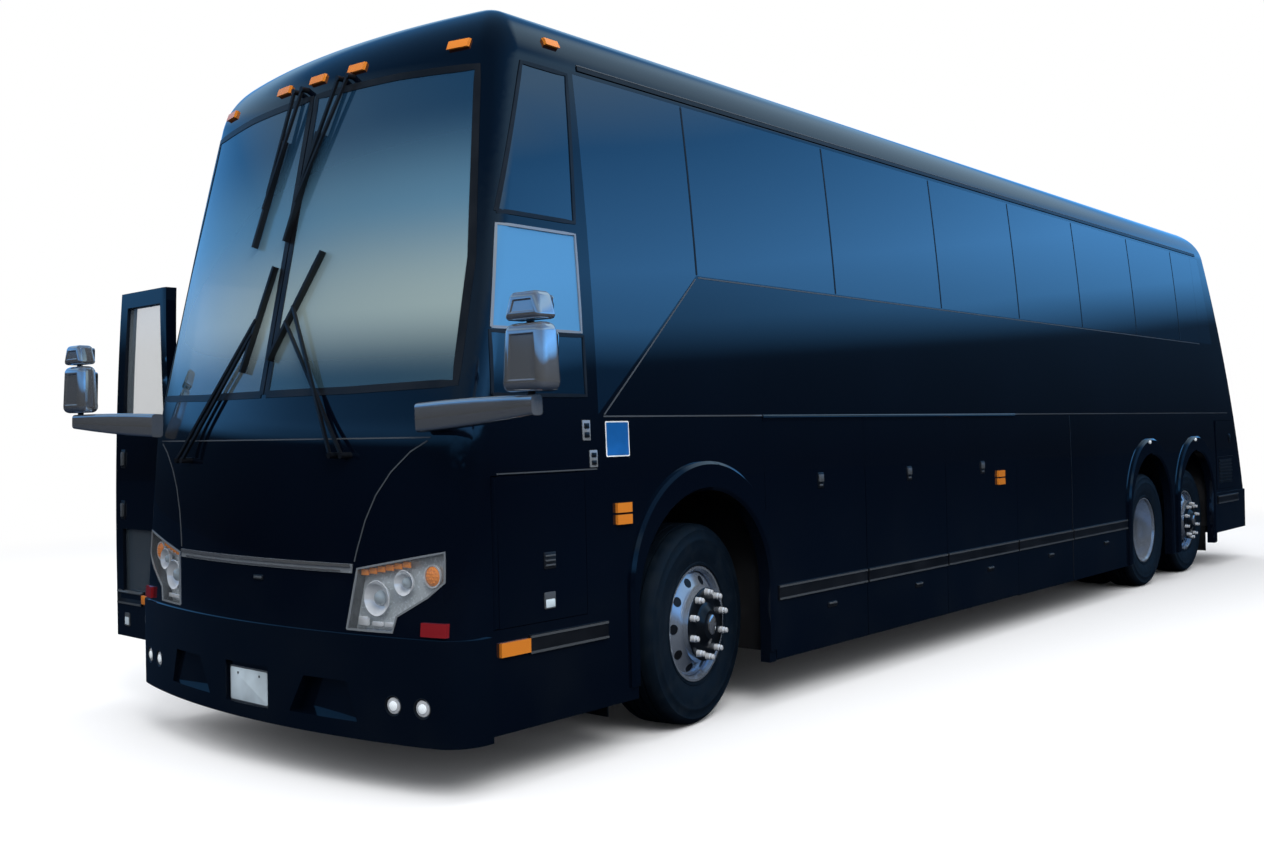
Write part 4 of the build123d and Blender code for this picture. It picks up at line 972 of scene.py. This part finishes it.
def fittings(shape, matrix, face, hub, valve_foot, nut_length):
    """Nut covers, hub cover, cap and valve. face is the disc's outer side and hub the hub's end."""
    for i in range(nut_count):
        cover = turned(nut_section, 16)
        bmesh.ops.scale(cover, vec=(1, 1, nut_length), verts=cover.verts)
        angle = math.tau * i / nut_count
        joined(shape, cover, matrix @ at(nut_ring * math.cos(angle), nut_ring * math.sin(angle), face), 3)
    collar = turned([(0.1890, face), (0.1885, face + 0.004), (0.1850, face + 0.006),
                     (0.1100, face + 0.006)], 64)
    joined(shape, collar, matrix, 1)
    base = turned([(boss + 0.012, face + 0.001), (boss + 0.010, face + 0.007), (boss + 0.003, face + 0.010),
                   (boss - 0.006, hub - 0.020), (boss * 0.72, hub + 0.001), (0.0, hub + 0.002)], 48)
    joined(shape, base, matrix, 1)
    cap = turned([(0.046, hub + 0.001), (0.046, hub + 0.009), (0.040, hub + 0.013), (0.0, hub + 0.015)], 36)
    bmesh.ops.scale(cap, vec=(1.12, 0.82, 1.0), verts=cap.verts)
    joined(shape, cap, matrix, 0)
    valve = turned([(0.004, 0.0), (0.004, 0.035), (0.006, 0.036), (0.006, 0.046), (0.0, 0.047)], 10)
    joined(shape, valve, matrix @ at(*valve_foot) @ Matrix.Rotation(valve_lean, 4, "Y"), 0)


kingpin_x, spindle_arm, steer_degrees = 0.930, 0.135, 9.5
drive_x, tag_x = 1.095, 1.050
front_y, drive_y, tag_y = -4.100, 2.710, 4.070
axle_z = 0.522
for side, s in sides.items():
    out = spin(90 * s, "Y")
    kingpin = at(s * kingpin_x, front_y, axle_z) @ spin(steer_degrees, "Z")
    places = {
        "front": kingpin @ at(s * spindle_arm, 0, 0) @ out,
        "drive": at(s * drive_x, drive_y, axle_z) @ out,
        "tag": at(s * tag_x, tag_y, axle_z) @ out,
    }
    for word, matrix in places.items():
        twin = word == "drive"
        rubber = bmesh.new()
        tyre(rubber, matrix)
        if twin:
            tyre(rubber, matrix @ at(0, 0, -twin_spacing))
        finished(f"road_tyre_{word}_{side}", rubber, f"{word}_wheel_{side}", tread_rubber,
                 replaces=[f"tyre_{word}_{side}"], angle=32)
        parts = bmesh.new()
        fittings(parts, matrix, **(twin_wheel if twin else single_wheel))
        if not twin:
            proud_disc(parts, matrix)
            joined(parts, turned(drum_section, 48), matrix, 2)
        finished(f"hub_{word}_{side}", parts, f"{word}_wheel_{side}",
                 [bright_shell, hub_black, engine_iron, reflector, rim_alloy, gasket_grey])


# Seats: crowned cushions with sewn channels on plain frames

def cushion(width, depth, height, rounding, crown):
    """A crowned pad standing on local Z = 0."""
    own = block(width, depth, height)
    ease(own, own.edges[:], rounding, 3)
    long_edges = [e for e in own.edges if e.calc_length() > rounding * 2.2]
    bmesh.ops.subdivide_edges(own, edges=long_edges, cuts=5, use_grid_fill=True)
    for v in own.verts:
        u = max(0.0, 1 - (2 * v.co.x / width) ** 2)
        w = max(0.0, 1 - (2 * v.co.y / depth) ** 2)
        channel = 0.004 * math.cos(v.co.x * math.tau / (width / 3)) * u
        v.co.z += (crown * u * w + channel * w) * (1 if v.co.z > 0 else -0.4)
    lifted(own, height / 2)
    bmesh.ops.triangulate(own, faces=[f for f in own.faces if len(f.verts) > 4])
    return own


def seat(pads, stand, place, width):
    """One seat: cushion, back and head pad on a frame. place is the middle of its foot."""
    back = place @ at(0, 0.020, 0.440) @ spin(-11.5, "X")
    upright = spin(90, "X")
    joined(pads, cushion(width, 0.430, 0.120, 0.030, 0.016), place @ at(0, -0.245, 0.335) @ spin(-4, "X"))
    joined(pads, cushion(width, 0.520, 0.090, 0.028, 0.012), back @ at(0, 0.065, 0.260) @ upright)
    joined(pads, cushion(width * 0.86, 0.170, 0.080, 0.026, 0.012), back @ at(0, 0.065, 0.600) @ upright)
    joined(stand, slab(width * 0.98, 0.660, 0.018, 0.03, 0.004), back @ at(0, 0.085, 0.330) @ upright)
    joined(stand, slab(width * 0.96, 0.400, 0.026, 0.02, 0.004), place @ at(0, -0.240, 0.310))
    for x in (-width * 0.30, width * 0.30):
        joined(stand, slab(0.034, 0.300, 0.310, 0.006), place @ at(x, -0.190, 0.0))


deck_top_z, platform_top_z = 1.300, 0.940
seat_rows, first_row_y, seat_pitch = 9, -3.950, 0.870
seat_middles = (0.500, 0.920)
pads, stands = bmesh.new(), bmesh.new()
for row in range(seat_rows):
    for s in sides.values():
        for x in seat_middles:
            seat(pads, stands, at(s * x, first_row_y + row * seat_pitch, deck_top_z), 0.400)
cushions = finished("seat_cushions", pads, "coach", seat_cloth, replaces=["passenger_seats"])
finished("seat_frames", stands, "coach", trim_plastic, replaces=["passenger_seats"])
pads, stands = bmesh.new(), bmesh.new()
seat(pads, stands, at(0.560, -4.850, platform_top_z), 0.480)
driver_pad = finished("driver_cushions", pads, "coach", seat_cloth, replaces=["driver_seat"])
finished("driver_seat_frame", stands, "coach", trim_plastic, replaces=["driver_seat"])

# Cockpit: panels and dials on the sloping dash, bright nosings on the entrance steps

cockpit = bmesh.new()
slope = Vector((0, 0.75, 0.66))
for x, wide in ((0.560, 0.400), (0.160, 0.240), (0.920, 0.200)):
    joined(cockpit, slab(wide, 0.095, 0.010, 0.014, 0.003), frame_at(Vector((x, -5.442, 1.492)), slope), 0)
    joined(cockpit, slab(wide * 0.88, 0.070, 0.004, 0.008, 0.001),
           frame_at(Vector((x, -5.435, 1.499)), slope), 1)
for x in (0.480, 0.560, 0.640):
    dial = turned([(0.030, 0.0), (0.030, 0.004), (0.027, 0.006), (0.026, 0.003), (0.0, 0.003)])
    joined(cockpit, dial, frame_at(Vector((x, -5.431, 1.504)), slope), 2)
finished("dash_panels", cockpit, "coach", [trim_plastic, screen_black, line_metal])
nosings = bmesh.new()
for x, z in ((-0.983, 0.600), (-0.703, 0.840), (-0.443, 0.940)):
    joined(nosings, slab(0.034, 0.630, 0.003, 0.004, 0.0008), at(x, -5.253, z))
finished("step_nosings", nosings, "coach", bright_edge)
